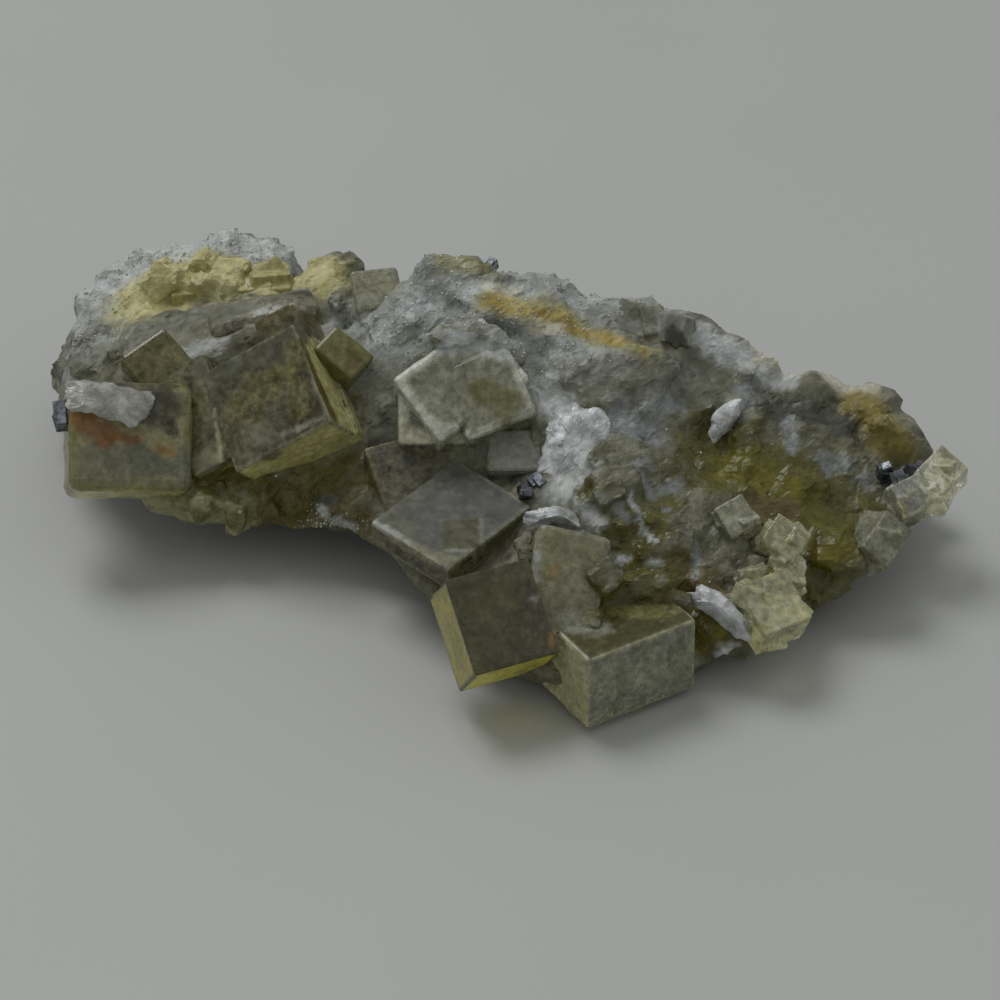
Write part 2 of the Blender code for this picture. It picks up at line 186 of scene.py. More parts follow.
def bake(made):
    """Replaces the mesh by the result of its modifiers."""
    bpy.context.view_layer.update()
    depsgraph = bpy.context.evaluated_depsgraph_get()
    result = bpy.data.meshes.new_from_object(made.evaluated_get(depsgraph), depsgraph=depsgraph)
    made.modifiers.clear()
    old = made.data
    made.data = result
    bpy.data.meshes.remove(old)


def remesh(made, grain):
    """Remakes a piece with an even grain."""
    step = made.modifiers.new("grain", "REMESH")
    step.mode = "VOXEL"
    step.voxel_size = grain * MM
    bake(made)


@contextmanager
def editing(mesh):
    """Opens a mesh for bmesh's tools and writes it back."""
    bm = bmesh.new()
    bm.from_mesh(mesh)
    yield bm
    bm.to_mesh(mesh)
    bm.free()


def is_closed(mesh):
    """Whether a mesh has faces and every edge has one on each side."""
    bm = bmesh.new()
    bm.from_mesh(mesh)
    good = len(bm.faces) > 0 and all(edge.is_manifold for edge in bm.edges)
    bm.free()
    return good


def drop_bubbles(mesh):
    """Removes the small closed bubbles that a remesh leaves inside a piece. Every point takes the
    lowest number among its neighbours, over and over, until each skin has one number."""
    ends = np.empty(len(mesh.edges) * 2, np.int32)
    mesh.edges.foreach_get("vertices", ends)
    one, other = ends.reshape(-1, 2).T
    skin, lowest = None, np.arange(len(mesh.vertices))
    while skin is None or (lowest != skin).any():
        skin, lowest = lowest, lowest.copy()
        np.minimum.at(lowest, one, skin[other])
        np.minimum.at(lowest, other, skin[one])
        lowest = lowest[lowest]
    small = np.bincount(skin)[skin] < BUBBLE
    if small.any():
        with editing(mesh) as bm:
            gone = [v for v, tiny in zip(bm.verts, small) if tiny]
            bmesh.ops.delete(bm, geom=gone, context="VERTS")


def join(target, other, operation="UNION"):
    """Joins other to the target, or cuts it away, and removes it."""
    before = target.data.copy()
    for solver in ("MANIFOLD", "EXACT"):
        target.data = before.copy()
        step = target.modifiers.new("join", "BOOLEAN")
        step.operation = operation
        step.solver = solver
        step.object = other
        bake(target)
        if is_closed(target.data):
            break
    bpy.data.meshes.remove(before)
    mesh = other.data
    bpy.data.objects.remove(other)
    bpy.data.meshes.remove(mesh)


def fused(pieces):
    """One piece from several that overlap."""
    for piece in pieces[1:]:
        join(pieces[0], piece)
    return pieces[0]


def turned(turn):
    """The rotation matrix of an XYZ turn in degrees."""
    return np.array(Euler([math.radians(a) for a in turn]).to_matrix())


CORNERS = np.array(list(product((-0.5, 0.5), repeat=3)))
BOX_SIDES = np.array(
    [(0, 1, 3, 2), (4, 6, 7, 5), (0, 4, 5, 1), (2, 3, 7, 6), (0, 2, 6, 4), (1, 5, 7, 3)])


def box_corners(centre, turn, size):
    """The corners of a plain box."""
    return (CORNERS * size) @ turned(turn).T + centre


def gathered(boxes):
    """The points and the outward faces of many plain boxes, from the corners of each."""
    first = 8 * np.arange(len(boxes))[:, None, None]
    return np.concatenate(boxes), (BOX_SIDES + first).reshape(-1, 4)


def box_grid(size, spacing, edge):
    """A closed box as a grid: on each of the six sides the two parameters run from -half to half,
    and every point is drawn to the inner box's nearest point plus the edge radius, which rounds
    the edges. Gives points, faces and the outward direction at each point."""
    half = np.array(size, float) / 2
    inner = half - edge
    lines = []
    for h, i in zip(half, inner):
        count = max(2, int(np.ceil(2 * i / spacing)))
        lines.append(np.concatenate([[-h], np.linspace(-i, i, count + 1), [h]]))
    points, faces, start = [], [], 0
    for axis, sign in product(range(3), (-1, 1)):
        u, v = (axis + 1) % 3, (axis + 2) % 3
        grid_u, grid_v = np.meshgrid(lines[u], lines[v], indexing="ij")
        side = np.zeros(grid_u.shape + (3,))
        side[..., axis], side[..., u], side[..., v] = sign * half[axis], grid_u, grid_v
        index = np.arange(grid_u.size).reshape(grid_u.shape) + start
        quad = np.stack([index[:-1, :-1], index[1:, :-1], index[1:, 1:], index[:-1, 1:]], axis=-1)
        quad = quad.reshape(-1, 4)
        faces.append(quad if sign > 0 else quad[:, ::-1])
        points.append(side.reshape(-1, 3))
        start += grid_u.size
    points = np.concatenate(points)
    _, first, back = np.unique(
        np.round(points, 4), axis=0, return_index=True, return_inverse=True
    )
    points = points[first]
    faces = back.reshape(-1)[np.concatenate(faces)]
    core = np.clip(points, -inner, inner)
    out = points - core
    out /= np.linalg.norm(out, axis=-1, keepdims=True)
    return core + edge * out, faces, out


# ---------------------------------------------------------------------------------------------
# What the surfaces are made of, some with painted glow or shade: two tones, how clear it is and how
# rough

TONES = {
    "rock": (paint(58, 57, 40), paint(102, 102, 88), 0.0, 0.42),
    "crust": (paint(104, 107, 102), paint(141, 144, 139), 0.0, 0.42),
    "white": (paint(130, 133, 131), paint(160, 163, 162), 0.0, 0.45),
    "bluish": (paint(84, 88, 87), paint(120, 124, 123), 0.0, 0.38),
    "cream": (paint(138, 135, 116), paint(162, 160, 149), 0.0, 0.55),
    "ochre": (paint(112, 97, 44), paint(146, 131, 80), 0.0, 0.65),
    "sand": (paint(108, 105, 68), paint(136, 133, 102), 0.0, 0.60),
    "olive": (paint(49, 46, 10), paint(78, 74, 30), 0.0, 0.22),
    "yellow": (paint(62, 58, 10), paint(92, 87, 30), 0.0, 0.24),
    "lemon": (paint(138, 132, 86), paint(163, 158, 118), 0.0, 0.45),
    "straw": (paint(104, 103, 70), paint(132, 131, 104), 0.0, 0.30),
    "brown": (paint(56, 49, 25), paint(84, 76, 46), 0.0, 0.25),
    "tan": (paint(80, 69, 22), paint(114, 104, 54), 0.0, 0.36),
    "dark": (paint(34, 34, 28), paint(60, 61, 54), 0.0, 0.28),
    "grey": (paint(68, 69, 59), paint(100, 101, 91), 0.0, 0.38),
    # fluorite, from clear to frosted
    "glass": ((0.52, 0.50, 0.28, 1), (0.68, 0.66, 0.42, 1), 0.92, 0.08),
    "mist": (paint(140, 141, 118), paint(176, 177, 158), 0.72, 0.24),
    "pearl": (paint(136, 136, 106), paint(176, 176, 150), 0.50, 0.20),
    "ice": (paint(186, 185, 158), paint(218, 217, 194), 0.76, 0.12),
    "pale_straw": (paint(188, 185, 142), paint(220, 217, 180), 0.74, 0.12),
    "milk": (paint(104, 105, 90), paint(138, 139, 124), 0.45, 0.30),
    "frost": (paint(66, 66, 51), paint(98, 99, 85), 0.38, 0.48),
    "thin_frost": (paint(64, 63, 48), paint(98, 98, 83), 0.66, 0.38),
    "cool_frost": (paint(68, 70, 64), paint(96, 98, 92), 0.45, 0.52),
    "white_frost": (paint(118, 120, 114), paint(150, 152, 146), 0.25, 0.48),
    "olive_glass": ((0.62, 0.57, 0.20, 1), (0.76, 0.72, 0.36, 1), 0.90, 0.09),
    "yellow_glass": ((0.90, 0.80, 0.28, 1), (0.95, 0.88, 0.44, 1), 0.88, 0.10),
    # the fluorite's own yellow, made brighter as painted glow of light passing through a side
    "yellow_film_and_painted_glow": (paint(132, 123, 38), paint(156, 147, 70), 0.46, 0.18),
    # painted glow: bright lines of light along crystal edges
    "painted_edge_glow": (paint(168, 161, 90), paint(196, 190, 124), 0.40, 0.16),
    "butter": (paint(146, 140, 90), paint(173, 167, 120), 0.46, 0.30),
    "cream_glass": (paint(146, 143, 108), paint(174, 171, 136), 0.45, 0.20),
    # a pale frosted veil that also serves as painted light on shaded faces
    "veil_and_painted_light": (paint(150, 150, 126), paint(180, 180, 158), 0.35, 0.25),
    # painted glow: a bright yellow film for crystal sides that face down or away, standing in for
    # light passing through
    "honey_painted_glow": (paint(166, 161, 104), paint(194, 189, 136), 0.50, 0.16),
    "olive_rim": (paint(88, 86, 50), paint(112, 110, 74), 0.42, 0.12),
    "olive_band": (paint(82, 80, 46), paint(104, 102, 66), 0.12, 0.20),
    "haze": (paint(166, 168, 152), paint(198, 200, 188), 0.42, 0.24),
    "moss": (paint(60, 57, 24), paint(84, 81, 44), 0.50, 0.22),
    # painted shade: darker glass for the large cube's top face
    "painted_shade_glass": ((0.37, 0.35, 0.21, 1), (0.51, 0.49, 0.32, 1), 0.92, 0.08),
    "dull_cream": (paint(98, 96, 74), paint(128, 126, 102), 0.45, 0.26),
    # the fluorite's own yellow, made brighter as painted glow of light passing through the
    # underside
    "gold_film_and_painted_glow": (paint(188, 174, 44), paint(212, 199, 82), 0.42, 0.16),
    "deep_glass": ((0.40, 0.37, 0.17, 1), (0.52, 0.49, 0.26, 1), 0.86, 0.12),
    "pale_frost": (paint(76, 77, 62), paint(108, 109, 95), 0.36, 0.45),
    "window": (paint(64, 63, 42), paint(88, 87, 62), 0.55, 0.30),
    "slate": (paint(93, 94, 86), paint(121, 122, 113), 0.25, 0.40),
    "amber": (paint(78, 66, 34), paint(104, 92, 56), 0.55, 0.22),
    "brown_glass": ((0.52, 0.44, 0.22, 1), (0.66, 0.58, 0.34, 1), 0.88, 0.16),
    "dark_glass": ((0.48, 0.46, 0.32, 1), (0.60, 0.58, 0.44, 1), 0.88, 0.16),
    "smoke_film": (paint(62, 61, 45), paint(88, 87, 70), 0.60, 0.24),
    "cream_film": (paint(106, 99, 66), paint(134, 128, 98), 0.25, 0.40),
    "rust_film": (paint(84, 54, 26), paint(110, 78, 46), 0.0, 0.50),
    "orange_film": (paint(98, 74, 40), paint(122, 98, 60), 0.30, 0.40),
}


BROAD_RAGS, FINE_RAGS = 1.7, 0.5  # how long the waves of a patch's edge are
SHADE_GRAIN, WAVER_GRAIN = 0.9, 1.9  # how broad a tone's shades run, and how broad it wavers
CLEAR_WAVER, CLEAR_LOSS, CLEAREST = 0.22, 0.04, 0.95  # how clearness wavers, falls and ends
ROUGH_WAVER = 0.4  # how much of its roughness comes and goes
PATCH_COVER = 0.9  # how much a patch hides of what lies below it


def share_of(points, path, radius, ragged, seed):
    """How far each point lies in a patch, 0 to 1: a path with a radius, whose edge is moved in
    and out by broad and fine noise."""
    reach = distance_to_path(points, path) / radius
    reach = reach + ragged * noise(points, BROAD_RAGS, seed, 3, 0.7)
    reach = reach + 0.7 * ragged * noise(points, FINE_RAGS, seed + 50, 3, 0.8)
    return 1 - smooth(reach, 0.45, 1.15)


def tones(points, kind, seed):
    """One kind of surface at each point: its two tones mixed by noise, its clearness and
    roughness wavering with a broader noise."""
    dark, light, clear, rough = TONES[kind]
    share = np.clip(0.5 + noise(points, SHADE_GRAIN, seed, 4, 0.75), 0, 1)[:, None]
    waver = noise(points, WAVER_GRAIN, seed + 5, 3, 0.7)
    colour = np.array(dark[:3]) * (1 - share) + np.array(light[:3]) * share
    moves, loss = (CLEAR_WAVER, CLEAR_LOSS) if clear else (0, 0)
    clear = np.clip(clear + moves * waver - loss, 0, CLEAREST)
    return np.column_stack([colour, clear, rough * (1 - ROUGH_WAVER * waver)])


def lay_tones(points, found, patches, seed):
    """What the surface is at each point, with each patch laid over what is found already."""
    for k, (kind, path, radius, ragged) in enumerate(patches):
        share = PATCH_COVER * share_of(points, path, radius, ragged, seed + 300 + k)[:, None]
        here = share[:, 0] > 0
        found[here] += (tones(points[here], kind, seed + 7 + k) - found[here]) * share[here]
    return found


def write_finish(mesh, found):
    """Keeps the colour, clearness and roughness as values at the mesh's points."""
    layer = mesh.color_attributes.new("tint", "FLOAT_COLOR", "POINT")
    colour = np.column_stack([found[:, :3], np.ones(len(found))])
    layer.data.foreach_set("color", colour.astype(np.float32).ravel())
    write_values(mesh, "clear", found[:, 3])
    write_values(mesh, "rough", found[:, 4])


# ---------------------------------------------------------------------------------------------
# The rock that carries the crystals

ROCK_GRAIN = 0.36  # how fine the rock is remade
# Patches of another surface: kind, path, radius, how ragged the edge is. Each one's noise comes
# from its place in the list.
ROCK_PATCHES = [
    # left lobe
    ("crust", [(-33.4, 12.4, 10.4), (-31.8, 18.0, 11.6), (-27.0, 22.0, 13.0)], 4.2, 0.6),
    ("white", [(-33.0, 19.0, 11.4), (-22.0, 23.6, 13.4), (-16, 21, 13)], 2.7, 0.7),
    ("grey", [(-32.4, 9.0, 12.0), (-28.6, 9.8, 13.0)], 2.2, 0.7),
    ("grey", [(-33.4, 11.6, 11.0), (-31.0, 14.0, 12.4)], 1.9, 0.9),
    ("lemon", [(-29.0, 15.4, 12.4), (-25.0, 18.0, 13.4), (-20.6, 16.4, 14.0)], 3.6, 0.3),
    ("lemon", [(-18.6, 17.2, 14.0), (-14.4, 16.8, 13.6)], 2.5, 0.5),
    ("grey", [(-26.4, 10.6, 13.4), (-20.4, 13.4, 14.2)], 1.8, 0.7),
    ("olive", [(-30.4, -2.6, 7.0), (-23.0, -3.4, 5.6), (-17.0, -4.2, 4.6)], 3.4, 0.4),
    ("olive", [(-21.4, 1.0, 9.0), (-19.0, -2.0, 7.0)], 2.4, 0.5),
    ("brown", [(-18.6, 3.4, 9.6), (-15.4, 2.4, 9.4)], 4.0, 0.4),
    ("brown", [(-17.0, -4.4, 6.2), (-12.6, -2.6, 7.4), (-9.8, -2.4, 7.6)], 2.6, 0.4),
    ("brown", [(-14.6, -5.2, 6.6), (-11.4, -6.0, 5.2)], 2.0, 0.6),
    ("dark", [(-15.4, -4.2, 6.6), (-12.4, -4.8, 6.4)], 0.7, 0.7),
    ("crust", [(-14.0, -5.2, 6.0), (-11.4, -5.8, 4.8)], 0.5, 0.9),
    ("crust", [(-25.6, 5.8, 13.2), (-22.6, 6.8, 14.2)], 1.3, 0.6),
    # saddle and ridge
    ("crust", [(-8.0, 6.0, 15.4), (-2.0, 5.0, 16.4), (6.0, 3.6, 15.8)], 4.3, 0.6),
    ("crust", [(-6.0, 9.0, 18.6), (4.0, 8.6, 17.8), (12.0, 8.2, 16.0)], 3.0, 0.4),
    ("olive", [(-2.8, 9.4, 19.6), (-0.6, 8.4, 18.6)], 1.4, 0.6),
    ("straw", [(-4.4, 9.2, 19.8), (-2.6, 9.0, 19.4)], 1.2, 0.6),
    ("grey", [(-9.4, 2.6, 13.0), (-8.0, 0.6, 10.4)], 2.0, 0.5),
    ("dark", [(-9.4, -0.6, 8.6), (-5.2, -1.6, 9.2)], 1.5, 0.5),
    ("white", [(-2.2, 6.4, 18.4), (1.8, 7.0, 18.2)], 0.9, 0.6),
    ("white", [(-7.8, 6.8, 16.7), (-5.5, 7.3, 17.3)], 0.9, 0.9),
    ("white", [(-12.0, 7.6, 15.4), (-9.0, 5.4, 15.4)], 1.0, 0.9),
    ("white", [(-4.4, 4.2, 16.4), (1.6, 3.6, 15.8)], 1.0, 0.6),
    ("sand", [(-0.8, 5.9, 18.3), (3.1, 5.2, 17.5), (5.6, 5.4, 16.6), (11.6, 2.4, 15.5)], 1.4, 0.5),
    ("ochre", [(-0.6, 5.8, 18.3), (1.2, 5.3, 17.9), (3.1, 5.0, 17.3), (5.4, 5.2, 16.5)], 0.95, 0.6),
    ("ochre", [(5.4, 5.0, 16.5), (7.8, 5.0, 15.6), (9.7, 3.8, 15.3), (11.0, 2.2, 15.6)], 0.9, 0.5),
    ("cream", [(-0.9, 6.8, 18.8), (1.2, 6.8, 18.5)], 0.6, 0.7),
    ("white", [(5.4, 7.6, 17.3), (7.4, 7.9, 17.0)], 0.9, 0.9),
    ("cream", [(2.6, 4.4, 16.8), (4.4, 4.4, 16.5)], 0.7, 0.7),
    ("dark", [(8.6, 3.0, 14.6), (11.8, 2.0, 14.6)], 0.9, 0.7),
    # right lobe, from the ridge down
    ("grey", [(6.0, 1.0, 13.6), (12.0, 0.6, 13.4), (15.0, 2.6, 13.4)], 2.8, 0.6),
    ("bluish", [(12.0, -1.6, 13.0), (18.6, 0.6, 12.6), (20.6, 3.0, 12.4)], 1.6, 0.8),
    ("bluish", [(9.2, -2.1, 12.4), (12.3, -3.1, 11.2), (13.8, -1.7, 11.7)], 1.6, 0.7),
    ("white", [(15.6, 6.2, 14.6), (17.6, 5.4, 13.9), (19.6, 5.6, 13.1)], 1.5, 0.6),
    ("cream", [(20.6, 6.2, 12.6), (24.0, 6.0, 11.8), (28.4, 5.4, 10.6)], 1.7, 0.4),
    ("white", [(20.8, 4.6, 12.0), (23.0, 4.6, 11.4)], 0.9, 0.8),
    ("tan", [(28.3, 3.2, 10.4), (29.5, 1.6, 9.7), (30.4, 0.1, 8.8), (31.0, -0.3, 8.0)], 2.1, 0.3),
    ("dark", [(21.4, 1.4, 11.2), (26.4, 1.0, 10.0)], 2.2, 0.6),
    ("olive", [(16.4, -3.6, 9.8), (21.0, -5.6, 9.0), (26.0, -6.6, 7.6)], 5.2, 0.4),
    ("yellow", [(17.8, -4.2, 9.6), (20.6, -5.4, 9.0), (24.4, -7.4, 7.8)], 1.9, 0.7),
    ("bluish", [(22.4, -0.4, 10.8), (22.6, -2.6, 10.3)], 0.6, 0.9),
    ("bluish", [(25.0, -2.4, 9.4), (28.0, -3.6, 8.6)], 1.3, 0.8),
    ("olive", [(25.4, -9.6, 6.6), (23.2, -14.0, 5.0)], 3.8, 0.4),
    ("yellow", [(25.6, -9.8, 6.6), (24.0, -12.4, 5.6)], 1.3, 0.6),
    ("dark", [(29.6, -3.4, 8.4), (31.2, -1.4, 7.6), (30.4, -5.4, 8.6)], 1.3, 0.7),
    # front slope
    ("grey", [(4.0, -8.4, 9.0), (8.6, -11.8, 9.0)], 3.0, 0.6),
    ("olive", [(6.4, -8.0, 10.0), (10.6, -12.4, 8.0), (12.2, -9.4, 9.4)], 2.2, 0.6),
    ("olive", [(8.4, -14.4, 8.4), (13.0, -15.6, 6.6)], 2.0, 0.6),
    ("brown", [(13.4, -14.0, 7.2), (16.2, -16.4, 5.6)], 1.7, 0.6),
    ("brown", [(12.4, -18.0, 5.6), (17.0, -18.6, 4.4)], 2.2, 0.5),
    ("brown", [(18.6, -8.6, 8.2), (22.0, -7.4, 7.6)], 1.4, 0.6),
    ("yellow", [(16.4, -18.8, 4.8), (17.2, -17.4, 5.4)], 0.9, 0.7),
    ("bluish", [(8.2, -8.6, 11.4), (8.8, -10.6, 10.0), (10.6, -11.8, 8.8)], 0.45, 0.7),
    ("bluish", [(8.2, -8.6, 11.4), (11.0, -6.4, 11.4), (13.6, -7.2, 10.2)], 0.45, 0.7),
    ("bluish", [(12.6, -9.6, 9.2), (14.8, -12.6, 8.2), (14.6, -15.0, 7.0)], 0.5, 0.8),
    ("white", [(11.2, -14.2, 7.8), (12.6, -14.8, 7.4)], 0.6, 0.8),
    ("bluish", [(10.6, -7.9, 10.8), (11.4, -8.6, 9.9), (13.7, -6.7, 9.5)], 0.8, 0.9),
    ("white", [(2.8, -10.4, 8.8), (5.4, -9.6, 9.8), (7.6, -11.0, 9.0)], 0.8, 0.6),
    ("white", [(19.4, -17.8, 6.4), (22.0, -18.4, 6.2)], 1.1, 0.7),
    ("white", [(14.0, -20.8, 2.2), (18.0, -19.6, 3.0)], 1.1, 0.7),
    ("dark", [(2.4, -5.2, 9.0), (0.6, -4.4, 9.0)], 1.0, 0.6),
    ("white", [(9.4, -7.9, 11.7), (9.9, -10.0, 10.4), (10.6, -10.7, 9.0), (11.6, -12.6, 8.1)],
     0.32, 0.9),
    ("white", [(12.8, -6.7, 9.9), (15.1, -8.9, 9.6), (16.2, -11.2, 8.4)], 0.32, 0.9),
    ("white", [(7.8, -12.6, 8.6), (9.0, -13.2, 7.2), (12.0, -14.0, 7.4)], 0.35, 0.9),
    ("yellow", [(11.8, -19.4, 6.0), (14.9, -18.6, 3.6), (15.4, -17.6, 4.4)], 1.5, 0.5),
    ("white", [(3.2, 0.8, 13.4), (4.8, -1.4, 12.4), (6.6, -6.6, 10.8), (4.8, -7.2, 9.6)], 1.7, 0.6),
    ("white", [(-4.0, 1.4, 17.0), (0.0, 1.4, 16.8)], 1.0, 0.7),
    ("crust", [(-13.6, 9.0, 14.4), (-10.4, 8.4, 15.2)], 1.7, 0.6),
    ("olive", [(5.0, -19.0, 8.0), (9.0, -18.0, 8.0), (12.4, -16.0, 7.6)], 2.4, 0.8),
    ("straw", [(-26.5, -2.4, 5.1), (-23.3, -3.2, 5.2), (-20.3, -3.4, 4.4)], 2.2, 0.6),
]
# Where the surface is covered by small crystals: path, radius
CRUST = [
    ([(-8.0, 6.0, 15.4), (-2.0, 5.0, 16.4), (5.0, 3.6, 15.8)], 3.8),
    ([(-6.0, 9.0, 18.6), (4.0, 8.6, 17.8), (12.0, 8.2, 16.0)], 2.4),
    ([(-33.0, 12.0, 11.0), (-32.0, 19.0, 11.4), (-20.0, 23.0, 13.0)], 3.4),
    ([(-15.6, -5.4, 6.0), (-11.0, -6.2, 4.6)], 1.7),
    ([(-25.6, 5.8, 13.2), (-22.6, 6.8, 14.2)], 1.2),
]
# Where small cubes stand half out of the rock: path, reach, how many, sizes
COBBLES = [
    ([(6.0, -4.0, 11.0), (14.0, -8.0, 9.6), (22.0, -6.0, 8.6), (27.0, -4.0, 8.0)],
     6.5, 75, (1.0, 2.6)),
    ([(8.0, 0.0, 14.0), (18.0, 1.0, 12.4), (26.0, 1.0, 10.0)], 3.6, 30, (0.8, 1.8)),
    ([(10.0, -16.0, 6.6), (18.0, -16.0, 5.0), (24.0, -11.0, 5.6)], 4.0, 34, (1.0, 2.4)),
    ([(-31.0, 12.0, 12.0), (-26.0, 20.0, 13.0), (-16.0, 18.0, 13.0)], 5.0, 46, (0.9, 2.2)),
    ([(-8.0, 8.0, 17.0), (2.0, 7.0, 17.6), (10.0, 7.0, 16.4)], 4.0, 36, (0.6, 1.4)),
    ([(-28.0, -2.6, 5.4), (-14.0, -4.4, 5.0)], 3.0, 26, (0.8, 2.0)),
    ([(-20.0, 26.0, 7.0), (0.0, 14.0, 9.0), (26.0, 10.0, 7.0)], 6.0, 60, (1.0, 2.8)),
    ([(-36.0, 16.0, 6.0), (-33.0, 24.0, 7.0)], 5.0, 20, (1.0, 2.4)),
]
# Small cubes heaped over the feet and worn tops of larger crystals: path, spread, how many, sizes
HEAPS = [
    ([(-4.6, 2.2, 17.0), (-2.3, 2.9, 17.6), (-0.4, 2.2, 17.0), (1.6, 1.4, 16.0)],
     0.35, 34, (0.9, 1.7)),
    ([(5.4, -19.2, 6.5), (9.0, -18.4, 6.7), (12.0, -16.6, 6.5)], 1.1, 30, (1.2, 2.3)),
    ([(1.8, -14.2, 9.4), (2.8, -19.0, 7.0)], 0.6, 14, (0.9, 1.7)),
    ([(6.2, -13.2, 9.0), (6.8, -17.0, 7.4)], 0.5, 14, (0.9, 1.7)),
    ([(-28.0, -2.2, 6.6), (-23.6, -3.0, 5.8), (-18.0, -3.4, 4.8)], 0.5, 20, (1.2, 2.2)),
    ([(-33.0, 7.0, 9.0), (-32.6, 12.0, 9.6)], 0.4, 14, (0.8, 1.8)),
    ([(-28.0, 17.6, 12.6), (-23.0, 17.0, 13.0), (-18.0, 16.6, 13.2)], 0.9, 24, (1.2, 2.4)),
    ([(-12.6, 10.6, 15.0), (-8.6, 10.2, 15.6)], 0.5, 14, (0.9, 1.8)),
    ([(18.2, -14.4, 6.4), (20.8, -13.8, 6.4)], 0.5, 12, (0.7, 1.5)),
    ([(17.8, -11.2, 7.6), (21.6, -11.4, 7.2)], 0.5, 10, (0.7, 1.5)),
    ([(30.0, -4.6, 7.4), (31.6, -2.4, 7.8)], 0.4, 8, (0.6, 1.2)),
]


COMMON_LEAN = (35, -5, 20)  # most crystals on the rock lean alike
COBBLE_SWAY, HEAP_SWAY = (14, 14, 26), (16, 16, 30)  # how far small cubes stray from it
UNEVEN = (0.75, 1.25)  # how far a small cube's sides differ from its size
COBBLE_SINK, HEAP_SINK = 0.36, 0.3  # how far it stands in what carries it, as a share of its size


def cobbles(points, normals, seed):
    """Small cubes half sunk in the rock: each stands at a point of the surface that lies near
    its path, turned about a common lean, its middle a third of its size below the surface. Those
    of a heap lie scattered about its path. Gives the points and faces of all of them."""
    dice = np.random.default_rng(seed)
    boxes = []
    for path, reach, count, sizes in COBBLES:
        near = np.nonzero(distance_to_path(points, path) < reach)[0]
        for at in dice.choice(near, size=min(count, len(near)), replace=False):
            size = dice.uniform(*sizes) * dice.uniform(*UNEVEN, 3)
            lean = dice.normal(COMMON_LEAN, COBBLE_SWAY)
            middle = points[at] - normals[at] * COBBLE_SINK * size.mean()
            boxes.append(box_corners(middle, lean, size))
    for path, spread, count, sizes in HEAPS:
        path = np.array(path)
        for _ in range(count):
            k = dice.integers(len(path) - 1)
            middle = path[k] + (path[k + 1] - path[k]) * dice.uniform() + dice.normal(0, spread, 3)
            size = dice.uniform(*sizes) * dice.uniform(*UNEVEN, 3)
            lean = dice.normal(COMMON_LEAN, HEAP_SWAY)
            boxes.append(box_corners(middle, lean, size) - (0, 0, HEAP_SINK * size[2]))
    return gathered(boxes)


ROCK_WAVES, ROCK_FACETS = 0.11, 0.15  # how far broken waves and cleavage facets rise
CRYSTAL_GRAIN = 0.7  # how broad the rounded crystals of the surface are
BARE_RISE, CRUST_RISE = 0.04, 0.12  # how far they rise everywhere, and how much more in crust


def rock_relief(points):
    """How far the rock's surface rises at each point: broken waves, cleavage facets (each cell
    is a plane of its own slope) and, where there is crust, small rounded crystals."""
    rise = ROCK_WAVES * noise(points, 2.6, 3, 4, 0.6) + ROCK_FACETS * facets(points, 1.7, 41, 51)
    crust = np.zeros(len(points))
    for k, (path, radius) in enumerate(CRUST):
        crust = np.maximum(crust, share_of(points, path, radius, 0.5, 60 + k))
    near, _ = cells(points, CRYSTAL_GRAIN, 71)
    rise += (BARE_RISE + CRUST_RISE * crust) * (0.5 - near / CRYSTAL_GRAIN)
    return rise, crust


FOOT = (0.15, 1.2)  # the relief grows from nothing to full between these heights
NUDGES = [  # where the worked rock is drawn up or down: middle, reach, move
    ((28.2, 5.2, 11.4), 3.6, (0, 0, -1.1)),
    ((23.8, 4.9, 10.9), 2.6, (0, 0.1, 1.5)),
]


def make_rock():
    """The rock: a merged copy of the solid and the small cubes that stand out of it, remade with
    an even grain and moved along its normals by rock_relief."""
    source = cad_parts["matrix"]
    mesh = source.data.copy()
    with editing(mesh) as bm:
        bmesh.ops.remove_doubles(bm, verts=bm.verts, dist=WELD)
    verts, faces = cobbles(read_points(mesh), read_normals(mesh), COBBLE_SEED)
    rock = bpy.data.objects.new("rock", mesh)
    bpy.context.scene.collection.objects.link(rock)
    extra = new_piece("cobbles", verts, faces)
    with editing(mesh) as bm:
        bm.from_mesh(extra.data)
        bmesh.ops.recalc_face_normals(bm, faces=bm.faces)
    bpy.data.objects.remove(extra)
    remesh(rock, ROCK_GRAIN)
    mesh = rock.data
    points, normals = read_points(mesh), read_normals(mesh)
    rise, crust = rock_relief(points)
    foot = smooth(points[:, 2], *FOOT)
    points = points + normals * (rise * foot)[:, None]
    for middle, reach, move in NUDGES:
        share = 1 - smooth(np.linalg.norm(points - middle, axis=-1), 0, reach)
        points += share[:, None] * move
    points[:, 2] = np.maximum(points[:, 2], 0.0)
    write_points(mesh, points)
    write_values(mesh, "crust", crust)
    ground = tones(points, "rock", ROCK_SEED)
    write_finish(mesh, lay_tones(points, ground, ROCK_PATCHES, ROCK_SEED))
    mesh.materials.clear()
    return rock


# ---------------------------------------------------------------------------------------------
# Crystals: boxes grown together. Each: centre, turn, size, the finish of its sides, the width and
# the finish of the rim along its bare edges, and the sides that have another finish.

